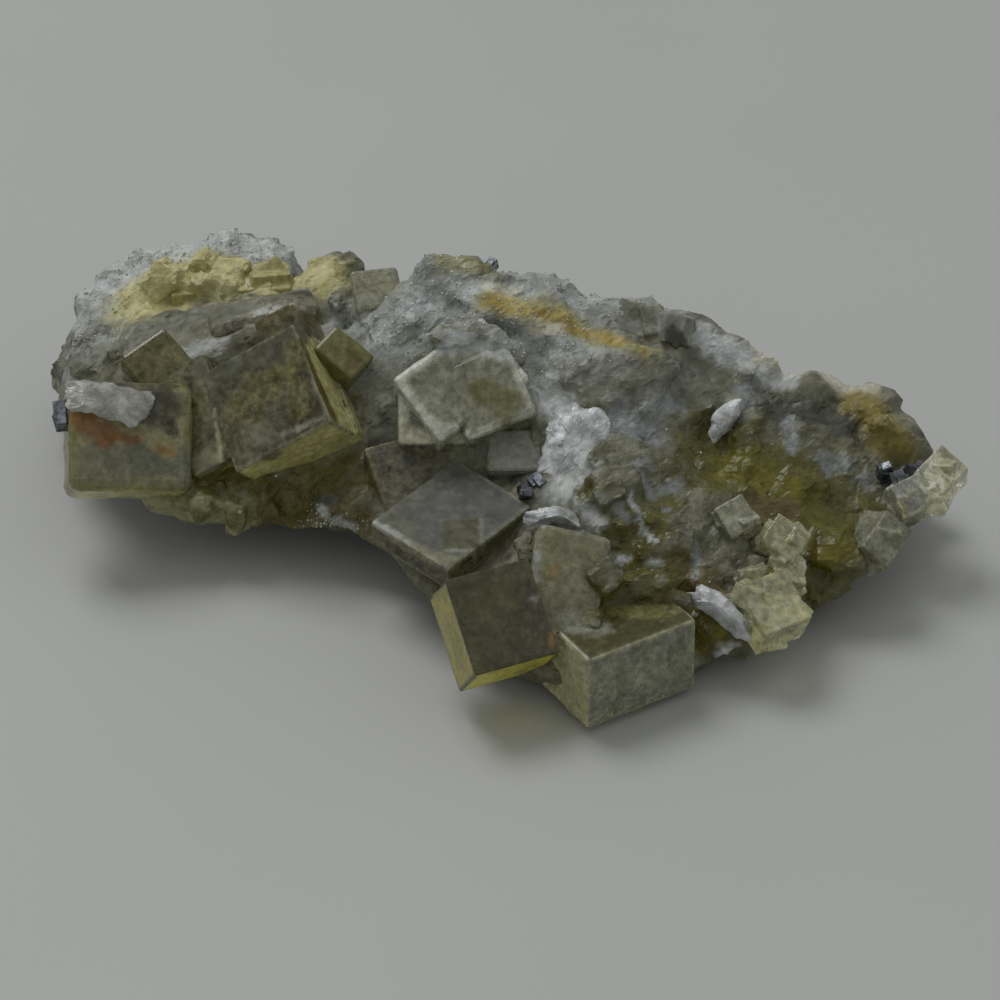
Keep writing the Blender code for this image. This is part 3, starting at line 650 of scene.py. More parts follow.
CRYSTALS = {
    "left_cubes": {
        # the large cube's top carries painted shade, its +x and -y sides painted glow
        "large": ((-17.7, 3.6, 10.6), (37, -31, 3), (8.6, 8.7, 8.0),
                  "glass", 0.2, "mist", {"+z": "painted_shade_glass", "+x": "honey_painted_glow", "-y": "honey_painted_glow"}),
        # the ledge's +x and -y sides carry painted glow
        "ledge": ((-16.69, 5.10, 9.02), (37, -31, 3), (8.9, 8.5, 3.2),
                  "glass", 0.2, "mist", {"+x": "honey_painted_glow", "-y": "honey_painted_glow"}),
        "step": ((-23.12, 4.22, 8.78), (37, -31, 3), (4.3, 8.9, 7.1), "glass", 0.3, "glass"),
        # the bevel's -x side carries painted glow
        "bevel": ((-24.82, 4.49, 7.31), (37, -31, 3), (1.7, 8.2, 6.6),
                  "brown_glass", 0.3, "brown_glass", {"-x": "honey_painted_glow"}),
        "back": ((-17.08, 8.41, 14.01), (37, -31, 3), (3.6, 3.4, 6.2),
                 "brown_glass", 0.3, "brown_glass"),
        # the edge cube's -y side carries painted glow
        "edge": ((-29.9, 0.8, 9.6), (47, 8, 10), (9.6, 8.6, 5.0),
                 "olive_glass", 1.1, "olive_band",
                 {"+z": "glass", "-x": "olive_band", "-y": "honey_painted_glow"}),
    },
    "middle_cubes": {
        "pale": ((-4.1, 2.9, 13.3), (38, -23, 29), (8.6, 6.2, 5.0), "mist", 0.9, "haze"),
        "right": ((-1.95, 1.89, 13.15), (44, -18, 14), (5.8, 6.2, 4.0), "mist", 0.7, "haze"),
        # its rim is a frosted veil, lightened as painted light
        "below": ((-5.8, 3.2, 10.6), (48, 2, 3), (6.5, 5.6, 5.0), "mist", 0.9, "veil_and_painted_light"),
        "brown": ((-7.6, 0.1, 6.7), (35, -5, 20), (7.0, 5.5, 3.6),
                  "dark_glass", 0.3, "brown_glass"),
    },
    "front_cubes": {
        # its -x and -y sides carry the crystal's yellow with painted glow
        "yellow_edged": ((-1.5, -19.2, 6.7), (41, -2, 22), (6.6, 7.4, 5.6),
                         "yellow_glass", 0.25, "smoke_film",
                         {"+z": "smoke_film", "-x": "yellow_film_and_painted_glow", "-y": "gold_film_and_painted_glow"}),
        "tall": ((3.4, -15.9, 6.8), (36, 14, -2), (5.6, 9.4, 5.0),
                 "mist", 0.3, "milk", {"+z": "dull_cream"}),
        "low": ((7.7, -18.6, 3.8), (0, 0, 32), (9.6, 6.6, 6.4),
                "mist", 0.3, "pearl", {"-x": "cream_glass", "-y": "mist", "+z": "moss"}),
    },
    "yellow_crystals": {
        "upper": ((20.1, -10.4, 7.6), (28, -21, 56), (3.2, 3.4, 4.0), "pale_straw", 0.3, "pearl"),
        "lower": ((19.1, -15.8, 5.4), (28, -4, 29), (4.6, 5.0, 4.0), "pale_straw", 0.3, "pearl"),
        "between": ((20.3, -12.6, 6.2), (18, 12, 10), (2.8, 3.2, 3.0), "pale_straw", 0.3, "pearl"),
        "chip": ((18.2, -12.9, 6.0), (52, 20, 70), (2.4, 2.6, 2.6), "pale_straw", 0.3, "pearl"),
    },
    "tip_crystals": {
        "outer": ((33.0, -1.7, 7.8), (24, -26, 38), (3.6, 3.2, 4.0), "ice", 0.3, "pearl"),
        "inner": ((30.3, -3.6, 6.9), (34, -8, 33), (3.2, 3.0, 4.0), "ice", 0.3, "pearl"),
        "chip": ((32.0, -3.4, 7.0), (60, 10, 75), (2.2, 2.6, 3.0), "ice", 0.3, "pearl"),
    },
    "back_cubes": {
        "left": ((-24.8, 20.2, 9.9), (5, -1, 8), (7.0, 5.0, 6.4), "butter", 0.6, "butter"),
        "right": ((-20.2, 18.7, 11.0), (5, 0, 5), (5.0, 4.0, 6.0), "butter", 0.6, "butter"),
    },
    "grey_cube": {
        "slab": ((-4.7, -6.7, 7.0), (6, 5, -42), (8.0, 9.6, 2.2),
                 "glass", 0.3, "mist", {"+z": "cool_frost"}),
    },
    "wedge_crystal": {
        "wedge": ((-13.6, 6.2, 13.2), (28, -15, 53), (3.0, 4.0, 4.0),
                  "olive_rim", 0.3, "olive_rim"),
    },
    "dark_olive_crystal": {
        "olive": ((-27.8, 7.3, 11.5), (30, -17, 37), (4.4, 4.6, 4.5),
                  "deep_glass", 0.2, "deep_glass"),
    },
    "dark_lens_crystal": {
        "lens": ((-19.6, 11.8, 12.8), (4, -8, 10), (9.0, 4.6, 4.6),
                 "dark_glass", 0.3, "dark_glass"),
    },
    "saddle_cube": {
        "cube": ((-10.9, 12.7, 14.9), (31, -1, 10), (3.8, 3.6, 4.6), "mist", 0.3, "mist"),
    },
    "dark_facet_cube": {
        "cube": ((0.2, -0.2, 8.4), (35, -2, -2), (4.4, 3.6, 4.6), "slate", 0.3, "dark_glass"),
    },
    "ridge_slab": {
        "slab": ((10.8, 8.3, 15.1), (38, 6, -21), (6.4, 3.0, 3.4), "slate", 0.3, "slate"),
    },
    "pale_round_crystal": {
        "crystal": ((16.8, -8.8, 8.8), (36, -19, 24), (2.8, 3.0, 3.4), "mist", 0.3, "pearl"),
    },
    "edge_crystal": {
        "crystal": ((27.7, -7.8, 6.1), (45, -25, 53), (4.2, 3.0, 4.0), "mist", 0.3, "brown_glass"),
    },
}
# Patches on the crystals, as on the rock: kind, path, radius, how ragged the edge is
CRYSTAL_PATCHES = {
    "left_cubes": [
        ("thin_frost", [(-20.2, 2.1, 14.7), (-17.4, 2.0, 16.1), (-16.0, 4.0, 17.2)], 1.7, 1.0),
        ("amber", [(-15.0, 1.9, 16.4), (-12.5, -2.6, 13.0)], 0.8, 0.5),
        ("deep_glass", [(-18.8, 0.8, 14.2), (-16.4, 0.4, 14.8)], 1.4, 0.7),
        ("deep_glass", [(-20.9, -0.6, 11.9), (-19.3, -2.1, 11.3)], 1.1, 0.6),
        ("frost", [(-23.0, 2.9, 13.8), (-20.8, 2.4, 14.6)], 1.1, 0.5),
        ("pearl", [(-22.2, 0.1, 11.9), (-21.4, -3.5, 8.6)], 0.22, 0.4),
        ("cream_film", [(-24.7, -1.1, 11.7), (-23.9, -3.0, 9.6)], 0.35, 0.4),
        ("milk", [(-17.4, -3.0, 11.4), (-16.5, -3.2, 11.9), (-13.4, -3.2, 13.1)], 0.3, 1.0),
        ("dark_glass", [(-19.3, -2.0, 11.4), (-18.1, -3.2, 10.8), (-17.2, -1.0, 12.6)], 1.5, 0.4),
        ("olive_glass", [(-15.6, 1.3, 16.4), (-15.4, -1.9, 13.6)], 1.1, 0.5),
        ("olive_glass", [(-19.6, -0.6, 12.8), (-18.0, 0.0, 14.0)], 1.6, 0.8),
        ("olive_glass", [(-23.2, -0.2, 12.5), (-22.6, -2.5, 10.8)], 1.0, 0.4),
        ("cream_film", [(-22.0, -0.6, 12.0), (-21.4, -4.1, 9.6)], 0.2, 0.3),
        ("amber", [(-15.2, 2.1, 16.6), (-12.7, -2.7, 13.1)], 0.5, 0.9),
        # painted glow along the large cube's right edge
        ("painted_edge_glow", [(-12.6, 1.6, 13.8), (-11.2, -2.2, 11.0)], 0.34, 0.6),
        ("pearl", [(-12.4, 1.6, 13.6), (-10.6, -1.4, 10.8)], 0.25, 0.3),
        # painted glow along the large cube's lower edge
        ("painted_edge_glow", [(-18.6, -4.9, 7.8), (-14.8, -4.4, 9.2), (-11.0, -3.4, 10.6)], 0.75, 0.4),
        ("pale_frost", [(-31.5, -4.6, 10.2), (-27.0, -3.7, 9.6), (-23.1, -3.8, 9.3)], 2.0, 0.4),
        ("thin_frost", [(-31.0, 0.6, 13.0), (-26.6, 0.4, 12.2)], 2.2, 0.5),
        ("cream_film", [(-31.8, -2.2, 12.4), (-29.2, -2.0, 12.0), (-27.7, -2.3, 11.2),
                        (-25.5, -2.7, 10.2)], 1.0, 0.4),
        ("rust_film", [(-32.3, -2.2, 12.8), (-31.4, -2.7, 12.2), (-30.4, -3.0, 11.6)], 1.15, 0.5),
        ("rust_film", [(-30.4, -3.0, 11.6), (-28.0, -2.9, 11.0)], 0.4, 0.9),
        ("orange_film", [(-26.2, -3.0, 10.3), (-25.4, -3.1, 10.0)], 0.5, 0.8),
        ("olive_band", [(-33.4, -3.0, 11.6), (-33.0, -5.6, 8.6), (-30.0, -6.0, 8.0)], 0.9, 0.4),
    ],
    "middle_cubes": [
        ("white", [(-4.2, 1.8, 17.0), (-1.2, 1.6, 17.0), (0.8, 1.0, 15.8)], 1.2, 0.6),
        ("olive_rim", [(-1.4, -0.8, 14.4), (0.6, -1.0, 13.8), (0.4, -2.0, 13.0)], 1.5, 0.4),
        ("haze", [(-7.8, 0.0, 12.8), (-5.4, -3.2, 12.6), (-3.5, -2.4, 11.2)], 0.8, 0.5),
        # painted light: a pale film on the front face of the lower cube, which lies in shade
        ("veil_and_painted_light", [(-7.7, -2.0, 10.7), (-3.5, -2.1, 10.8)], 1.0, 0.4),
    ],
    "front_cubes": [
        ("slate", [(-2.4, -16.2, 9.6), (1.2, -15.0, 9.6)], 1.4, 0.7),
        # the crystal's yellow with painted glow along its lower edges
        ("yellow_film_and_painted_glow", [(-4.6, -18.6, 8.6), (-3.4, -23.4, 5.4), (1.6, -22.6, 6.4)], 1.0, 0.25),
        ("orange_film", [(4.0, -17.6, 9.8), (4.0, -18.6, 9.5)], 0.45, 0.7),
        ("orange_film", [(3.8, -22.8, 7.4), (3.9, -23.6, 7.0)], 0.45, 0.7),
        ("white_frost", [(3.4, -12.0, 10.4), (6.6, -14.0, 9.6), (7.0, -17.0, 8.4)], 0.6, 0.7),
        ("olive_glass", [(3.0, -13.6, 10.0), (3.4, -17.4, 8.6)], 1.4, 0.6),
        ("white_frost", [(12.4, -20.0, 2.0), (14.6, -18.4, 1.6)], 0.8, 0.6),
        ("milk", [(5.4, -21.0, 7.0), (7.6, -21.6, 7.0)], 1.2, 0.8),
        ("olive_glass", [(9.6, -18.4, 7.0), (12.6, -17.8, 7.0)], 2.2, 0.6),
        ("white_frost", [(3.0, -14.6, 11.0), (2.4, -21.0, 9.0)], 0.5, 0.9),
    ],
    "grey_cube": [
        ("frost", [(-6.6, -10.8, 7.6), (-9.0, -8.0, 8.2)], 0.8, 0.8),
        ("frost", [(-8.0, -7.0, 8.0), (-5.0, -3.6, 8.2)], 1.6, 0.7),
        ("dull_cream", [(-8.6, -10.6, 7.6), (-5.6, -13.0, 7.4), (-3.6, -13.8, 7.4)], 0.7, 0.6),
        ("white_frost", [(-9.6, -9.2, 7.8), (-7.0, -11.6, 7.6)], 0.3, 0.9),
    ],
    "dark_lens_crystal": [
        ("white", [(-19.3, 9.5, 15.0), (-18.9, 9.5, 15.0)], 0.6, 0.3),
        ("frost", [(-23.4, 9.6, 14.6), (-20.6, 9.8, 15.0)], 1.5, 0.6),
    ],
    "ridge_slab": [
        ("smoke_film", [(13.4, 4.4, 16.0), (15.4, 3.6, 14.6)], 0.9, 0.5),
        ("frost", [(8.0, 6.8, 17.6), (11.4, 5.8, 17.0)], 0.9, 0.9),
    ],
    "wedge_crystal": [("amber", [(-11.8, 3.8, 15.0), (-11.2, 3.2, 14.2)], 0.5, 0.9)],
    "yellow_crystals": [
        ("white_frost", [(18.0, -17.0, 5.6), (20.4, -15.6, 6.2)], 1.2, 0.8),
        ("olive_glass", [(21.0, -12.6, 7.0), (20.4, -14.6, 7.0)], 0.9, 0.6),
    ],
    "tip_crystals": [("white_frost", [(30.0, -5.0, 8.4), (31.6, -3.6, 8.4)], 0.7, 0.7)],
}
WORN = {  # how far a crystal's edges are rounded, where not EDGE
    "edge": 0.85, "bevel": 0.3, "back": 0.3, "tall": 0.5, "low": 0.3, "pale": 0.35, "below": 0.3,
    "right": 0.5, "lens": 1.2, "olive": 0.3, "wedge": 0.3, "cube": 0.35, "slab": 0.25,
    "upper": 0.4, "lower": 0.5, "between": 0.4, "chip": 0.3, "outer": 0.35, "inner": 0.35,
    "crystal": 0.45,
}
# Galena's blocks: centre, turn, size
GALENA = {
    "galena_left": [((-34.9, 0.8, 11.9), (35, -6, 8), (1.8, 2.6, 2.2))],
    "galena_middle": [
        ((1.9, -4.2, 9.0), (20, -16, 37), (1.8, 1.7, 2.4)),
        ((0.8, -4.8, 8.6), (40, 10, 15), (1.3, 1.3, 2.0)),
    ],
    "galena_right": [
        ((29.7, -3.2, 8.2), (32, 1, 27), (2.0, 2.2, 2.6)),
        ((30.9, -1.6, 8.2), (10, 20, 50), (1.6, 1.6, 2.4)),
        ((28.6, -2.0, 8.6), (24, -12, 5), (1.3, 1.3, 2.0)),
    ],
    "galena_top": [((-1.8, 12.0, 18.6), (22, 11, -26), (1.2, 1.3, 2.2))],
}
# Quartz chips: centre, turn, height of the rim and of the middle, how far cells break them, and
# the outline seen from above
QUARTZ = {
    "quartz_plate": ((-31.3, 0.6, 13.9), (22, 19, -2), 0.05, 0.6, 0.3, [
        (-3.3, 0.1), (-2.1, 0.9), (-0.1, 1.2), (2.2, 1.3), (3.5, 1.6), (3.9, 0.2), (3.3, -1.2),
        (2.4, -2.3), (1.5, -1.9), (0.7, -2.1), (-1.0, -2.1), (-2.4, -2.3)]),
    "quartz_mass": ((4.6, -1.0, 10.6), (27, -33, 55), 0.2, 2.0, 0.55, [
        (-1.1, 2.1), (1.3, 2.5), (2.8, 1.8), (4.3, 0.1), (3.7, -2.0), (1.8, -2.9), (-0.1, -2.8),
        (-2.2, -2.5), (-3.8, -2.7), (-3.4, -1.2), (-5.0, -0.4), (-3.6, 1.1)]),
    "quartz_arch": ((3.6, -7.1, 8.1), (33, 13, -13), 0.4, 1.6, 0.7, [
        (-2.7, -1.1), (-1.7, -0.1), (-0.3, 0.5), (1.3, 0.4), (2.8, -0.4), (2.6, -1.3), (1.2, -0.9),
        (-0.2, -0.8), (-1.4, -1.0), (-2.0, -1.8)]),
    "quartz_rod": ((15.4, -16.2, 6.0), (24, 31, -33), -0.3, 1.2, 0.8, [
        (-2.7, -0.7), (-2.5, 0.3), (-1.5, 0.8), (0.5, 0.9), (2.6, 0.8), (3.2, -0.1), (2.4, -0.7),
        (0.6, -0.8), (-0.9, -1.0), (-1.9, -1.2)]),
    "quartz_flake": ((16.4, 0.4, 11.8), (31, -37, 52), -0.2, 0.9, 0.6, [
        (-0.7, 0.9), (0.3, 1.0), (1.3, 0.6), (1.8, -0.2), (0.7, -0.6), (-0.6, -0.6), (-1.7, -0.1),
        (-1.4, 0.6)]),
}
SLOTS = {  # what each node's crystals are made of, where not the dark fluorite
    "left_cubes": "fluorite_yellow", "front_cubes": "fluorite_yellow",
    "back_cubes": "fluorite_yellow", "middle_cubes": "fluorite_pale",
    "yellow_crystals": "fluorite_pale", "tip_crystals": "fluorite_pale",
    "pale_round_crystal": "fluorite_pale",
}
BROKEN = (  # nodes whose crystals are broken clusters
    "ridge_slab", "yellow_crystals", "tip_crystals", "edge_crystal", "pale_round_crystal",
    "back_cubes")
EDGE, SPACING = 0.13, 0.24  # how far a crystal's edges are rounded, how far apart its points lie
FAINT_WAVES, WORN_WAVES = 0.02, 0.16  # how far its sides wave, and how much more if worn
CHIPS, CHIP_GRAIN = 6, 0.13  # small cubes to each broken box, and how fine they are remade
CHIP_SIZES, CHIP_LEAN = (0.40, 0.62), 16  # their sizes as shares of the box's, and their lean
DRAWN_IN = 0.88  # how much of a broken box's size is left
CHIP_FACETS, CHIP_WAVES = 0.05, 0.012  # how far their cleavage facets and noise rise
GRAINS, GRAIN_LEAN = 6, 9  # small cubes to each block of galena, and their lean
GRAIN_EDGE, GRAIN_SPACING = 0.07, 0.35  # their own edges and how far apart their points lie
LOWEST = 0.02  # no crystal reaches below this height
GROWN_OVER = 0.25  # an edge that lies this close to another box is covered
RIM_FULL, RIM_GONE = 0.3, 1.2  # where a rim starts to fade and ends, as a share of its width
TIE = 1e-4  # a box has to be nearer by this much to take a point over
DEEP = 1.2  # how far above and below its middle a window reaches


def block(name, centre, turn, size, seed, edge=EDGE, spacing=SPACING):
    """A crystal's box: a grid box whose sides carry faint waves, stronger where its edges are
    worn."""
    local, faces, out = box_grid(size, spacing, edge)
    rise = (FAINT_WAVES + WORN_WAVES * edge) * noise(local + 31 * seed, 1.8, seed, 3)
    points = (local + out * rise[:, None]) @ turned(turn).T + centre + SHIFT
    return new_piece(name, points, faces)


def cut_level(made):
    """Cuts away what would hang below the base plane, by a large block under it."""
    if read_points(made.data)[:, 2].min() > LOWEST:
        return
    points, faces, _ = box_grid((200, 200, 20), 40, 1)
    join(made, new_piece("ground", points + (0, 0, LOWEST - 10), faces), "DIFFERENCE")


def bare_edge(local, over, side, own, blocks):
    """How far each point of a box lies from the nearest of its edges that no other box covers.
    The edge's point is found by moving along one axis to the box's half size."""
    specs = list(blocks.values())
    centre, turn, size = specs[own][:3]
    nearest = np.full(len(local), np.inf)
    for axis in range(3):
        edge = local.copy()
        edge[:, axis] = np.where(local[:, axis] < 0, -0.5, 0.5) * size[axis]
        world = edge @ turned(turn).T + centre
        covered = side == axis
        for other, (far, lean, wide) in enumerate(spec[:3] for spec in specs):
            if other != own:
                there = np.abs((world - far) @ turned(lean)) - np.array(wide) / 2
                covered |= there.max(axis=-1) < GROWN_OVER
        nearest = np.where(covered, nearest, np.minimum(nearest, -over[:, axis]))
    return nearest


def make_cluster(name, blocks, seed):
    """Broken crystals: each box, drawn in a little, with small cubes flush with its sides, all
    remade with an even grain and moved by cleavage facets and noise."""
    dice = np.random.default_rng(seed)
    boxes = []
    for centre, turn, size in (spec[:3] for spec in blocks.values()):
        size = np.array(size)
        boxes.append(box_corners(centre, turn, size * DRAWN_IN))
        for _ in range(CHIPS):
            wide = size.mean() * dice.uniform(*CHIP_SIZES) * dice.uniform(0.85, 1.15, 3)
            place = (size - wide) / 2 * dice.uniform(-1, 1, 3)
            axis = dice.integers(3)
            place[axis] = (size - wide)[axis] / 2 * dice.choice((-1, 1))
            lean = np.array(turn) + dice.normal(0, CHIP_LEAN, 3)
            boxes.append(box_corners(place @ turned(turn).T + centre, lean, wide))
    points, faces = gathered(boxes)
    made = new_piece(name, points + SHIFT, faces)
    remesh(made, CHIP_GRAIN)
    points, normals = read_points(made.data), read_normals(made.data)
    rise = CHIP_FACETS * facets(points, 1.0, seed, seed + 1)
    rise += CHIP_WAVES * noise(points, 0.7, seed + 4, 3)
    write_points(made.data, points + normals * rise[:, None])
    made.data.shade_smooth()
    return made


def grow(name, node, blocks):
    """One node's crystals in one piece: a broken cluster, or its boxes fused."""
    if node in BROKEN:
        made = make_cluster(name, blocks, CLUSTER_SEED + len(node))
    else:
        made = fused([
            block(part if k else name, *spec[:3], k, WORN.get(part, EDGE))
            for k, (part, spec) in enumerate(blocks.items())])
    cut_level(made)
    return made


WINDOWS = {  # squares of another finish on a crystal's face: kind, middle, turn, width and depth
    "grey_cube": [
        ("milk", (-3.94, -9.3, 8.0), (7.8, -0.3, 2), 3.3, 3.7),
        ("window", (-4.06, -9.15, 8.0), (7.8, -0.3, 2), 3.0, 3.4),
    ],
}


def make_crystals(name, node, blocks):
    """One node's crystals. Each point takes the finish of the box and side that it lies nearest
    to, then that of the rim beside a bare edge, then those of the patches and windows."""
    made = grow(name, node, blocks)
    points = read_points(made.data)
    best = np.full(len(points), np.inf)
    found = np.zeros((len(points), 5))
    for k, (centre, turn, size, kind, width, rim_kind, *others) in enumerate(blocks.values()):
        local = (points - centre - SHIFT) @ turned(turn)
        over = np.abs(local) - np.array(size) / 2
        gap = np.abs(over.max(axis=-1))
        side = over.argmax(axis=-1)
        mine = tones(points, kind, CRYSTAL_SEED + 20 * k)
        for word, kind in dict(*others).items():
            axis, sign = "xyz".index(word[1]), 1 if word[0] == "+" else -1
            here = (side == axis) & (local[:, axis] * sign > 0)
            mine[here] = tones(points[here], kind, SIDE_SEED + 20 * k)
        bare = bare_edge(local, over, side, k, blocks)
        rim = (1 - smooth(bare, RIM_FULL * width, RIM_GONE * width))[:, None]
        mine = mine * (1 - rim) + tones(points, rim_kind, RIM_SEED) * rim
        nearest = gap < best - TIE
        best = np.where(nearest, gap, best)
        found = np.where(nearest[:, None], mine, found)
    found = lay_tones(points, found, CRYSTAL_PATCHES.get(node, []), PATCH_SEED)
    for kind, centre, turn, wide, deep in WINDOWS.get(node, []):
        local = (points - centre - SHIFT) @ turned(turn)
        over = np.maximum(np.abs(local[:, 0]) * 2 / wide, np.abs(local[:, 1]) * 2 / deep)
        share = (1 - smooth(over + 0.06 * noise(points, 0.8, 3), 0.86, 1.06))[:, None]
        found += (tones(points, kind, WINDOW_SEED) - found) * share * (np.abs(local[:, 2:]) < DEEP)
    write_finish(made.data, found)
    made.data.materials.clear()
    return made


def make_galena(name, specs):
    """Galena: each block is a cluster of cubes with blunt edges, thrown inside it and fused."""
    grains = []
    for k, (centre, turn, size) in enumerate(specs):
        dice = np.random.default_rng(GALENA_SEED + k)
        for _ in range(GRAINS):
            small = np.array(size) * dice.uniform(*CHIP_SIZES, 3)
            place = (np.array(size) - small) / 2 * dice.uniform(-0.9, 0.9, 3)
            place = place @ turned(turn).T + centre
            lean = np.array(turn) + dice.normal(0, GRAIN_LEAN, 3)
            label, seed = "grain" if grains else name, GRAIN_SEED + k
            grains.append(block(label, place, lean, small, seed, GRAIN_EDGE, GRAIN_SPACING))
    made = fused(grains)
    made.data.materials.clear()
    return made


CHIP_STEP, CHIP_RINGS = 0.16, 15  # how far apart a quartz chip's points lie, and its rings
CHIP_SKIN = 0.05  # how thick it is at its rim
UNDER_BULGE = 0.35  # how far its underside bulges, as a share of its crown's height over the rim
RAGGED = 0.35  # how far noise moves its outline
QUARTZ_FACETS, QUARTZ_WAVES = 0.30, 0.10  # how far cleavage facets and noise rise


def make_quartz(name, centre, turn, rim, crown, broken, outline, seed):
    """A chip of quartz: rings run from its middle to the outline, whose run is made ragged by
    noise. The top falls from the crown to the rim with the fourth power of the ring's share, the
    underside bulges down by a third as much, and cells break both into facets, as far as broken
    says."""
    corners = np.array(outline + outline[:1], float)
    run = np.concatenate([[0], np.cumsum(np.linalg.norm(np.diff(corners, axis=0), axis=-1))])
    steps = np.linspace(0, run[-1], int(run[-1] / CHIP_STEP), endpoint=False)
    edge = np.column_stack([np.interp(steps, run, corners[:, k]) for k in (0, 1)])
    middle = edge.mean(axis=0)
    shares = np.linspace(0.06, 1, CHIP_RINGS)[:, None, None]
    flat = middle + (edge - middle) * shares
    flat = np.concatenate([flat, np.zeros(flat.shape[:2] + (1,))], axis=-1)
    ragged = noise(flat.reshape(-1, 3) + seed, 0.8, seed, 3, 0.7).reshape(flat.shape[:2] + (1,))
    reach = np.abs(edge - middle).mean()
    flat[..., :2] += RAGGED * ragged * shares * (flat[..., :2] - middle) / reach
    swell = 1 - shares[..., 0] ** 4 + 0 * flat[..., 0]
    top, under = flat.copy(), flat.copy()
    top[..., 2] = rim + (crown - rim) * swell
    under[..., 2] = rim - UNDER_BULGE * (crown - rim) * swell - CHIP_SKIN
    count = len(edge)
    points = np.concatenate([
        top.reshape(-1, 3), under.reshape(-1, 3), [[*middle, crown]],
        [[*middle, rim - UNDER_BULGE * (crown - rim) - CHIP_SKIN]]])
    below = CHIP_RINGS * count
    ring = np.arange(count)
    after = (ring + 1) % count
    rows = np.arange(CHIP_RINGS - 1)[:, None] * count
    up = np.stack([rows + ring, rows + count + ring, rows + count + after, rows + after], axis=-1)
    up = up.reshape(-1, 4)
    down = up[:, ::-1] + below
    rim_ring, rim_after = below - count + ring, below - count + after
    wall = np.stack([rim_ring, rim_ring + below, rim_after + below, rim_after], axis=-1)
    tip = 2 * below
    fans = [(tip, a, b) for a, b in zip(ring, after)]
    fans += [(tip + 1, b + below, a + below) for a, b in zip(ring, after)]
    rise = QUARTZ_FACETS * facets(points, 0.8, seed + 5, seed + 1, 0.4)
    points[:, 2] += broken * (rise + QUARTZ_WAVES * noise(points, 0.6, seed, 3))
    points = points @ turned(turn).T + centre + SHIFT
    made = new_piece(name, points, up.tolist() + down.tolist() + wall.tolist() + fans)
    with editing(made.data) as bm:
        bmesh.ops.recalc_face_normals(bm, faces=bm.faces)
    return made


CRUST_COUNT, CRUST_SIZES = 2200, (0.04, 0.11)
CRUST_STRAYS = 0.003  # the weight of a point that lies outside the crust
CRUST_LEAN, CRUST_HEIGHTS = 0.55, (1.0, 1.7)  # how far they lean, how tall for their width
CRUST_LOWEST = 0.01


def sprinkle(name, carrier, weight, count, sizes, seed):
    """Small six-sided crystals with a point at each end, standing on the carrier where weight is
    high. Each is a ring of six points and two tips, turned to lean up to half a right angle
    away from the carrier's normal."""
    dice = np.random.default_rng(seed)
    points, normals = read_points(carrier.data), read_normals(carrier.data)
    odds = np.clip(weight, 0, None)
    chosen = dice.choice(len(points), size=count, p=odds / odds.sum())
    angle = np.arange(6) * np.pi / 3
    ring = np.stack([np.cos(angle), np.sin(angle), 0 * angle], axis=-1)
    shape = np.concatenate([ring, [[0, 0, 1.0], [0, 0, -1.0]]])
    fan = [(k, (k + 1) % 6, 6) for k in range(6)] + [((k + 1) % 6, k, 7) for k in range(6)]
    axis = normals[chosen] + CRUST_LEAN * dice.normal(size=(count, 3))
    axis /= np.linalg.norm(axis, axis=-1, keepdims=True)
    side = np.cross(axis, dice.normal(size=(count, 3)))
    side /= np.linalg.norm(side, axis=-1, keepdims=True)
    other = np.cross(axis, side)
    wide = dice.uniform(*sizes, count)
    tall = wide * dice.uniform(*CRUST_HEIGHTS, count)
    verts = (
        shape[None, :, :1] * (side * wide[:, None])[:, None]
        + shape[None, :, 1:2] * (other * wide[:, None])[:, None]
        + shape[None, :, 2:] * (axis * tall[:, None])[:, None]
    )
    verts = verts + points[chosen][:, None]
    faces = (np.array(fan)[None] + 8 * np.arange(count)[:, None, None]).reshape(-1, 3)
    verts = verts.reshape(-1, 3)
    verts[:, 2] = np.maximum(verts[:, 2], CRUST_LOWEST)
    made = new_piece(name, verts, faces)
    write_values(made.data, "shade", np.repeat(dice.uniform(0, 1, count), 8))
    return made


# ---------------------------------------------------------------------------------------------
# Finishes


NOISE_LOW, NOISE_HIGH = 0.3, 0.7  # most of a noise's values lie between these


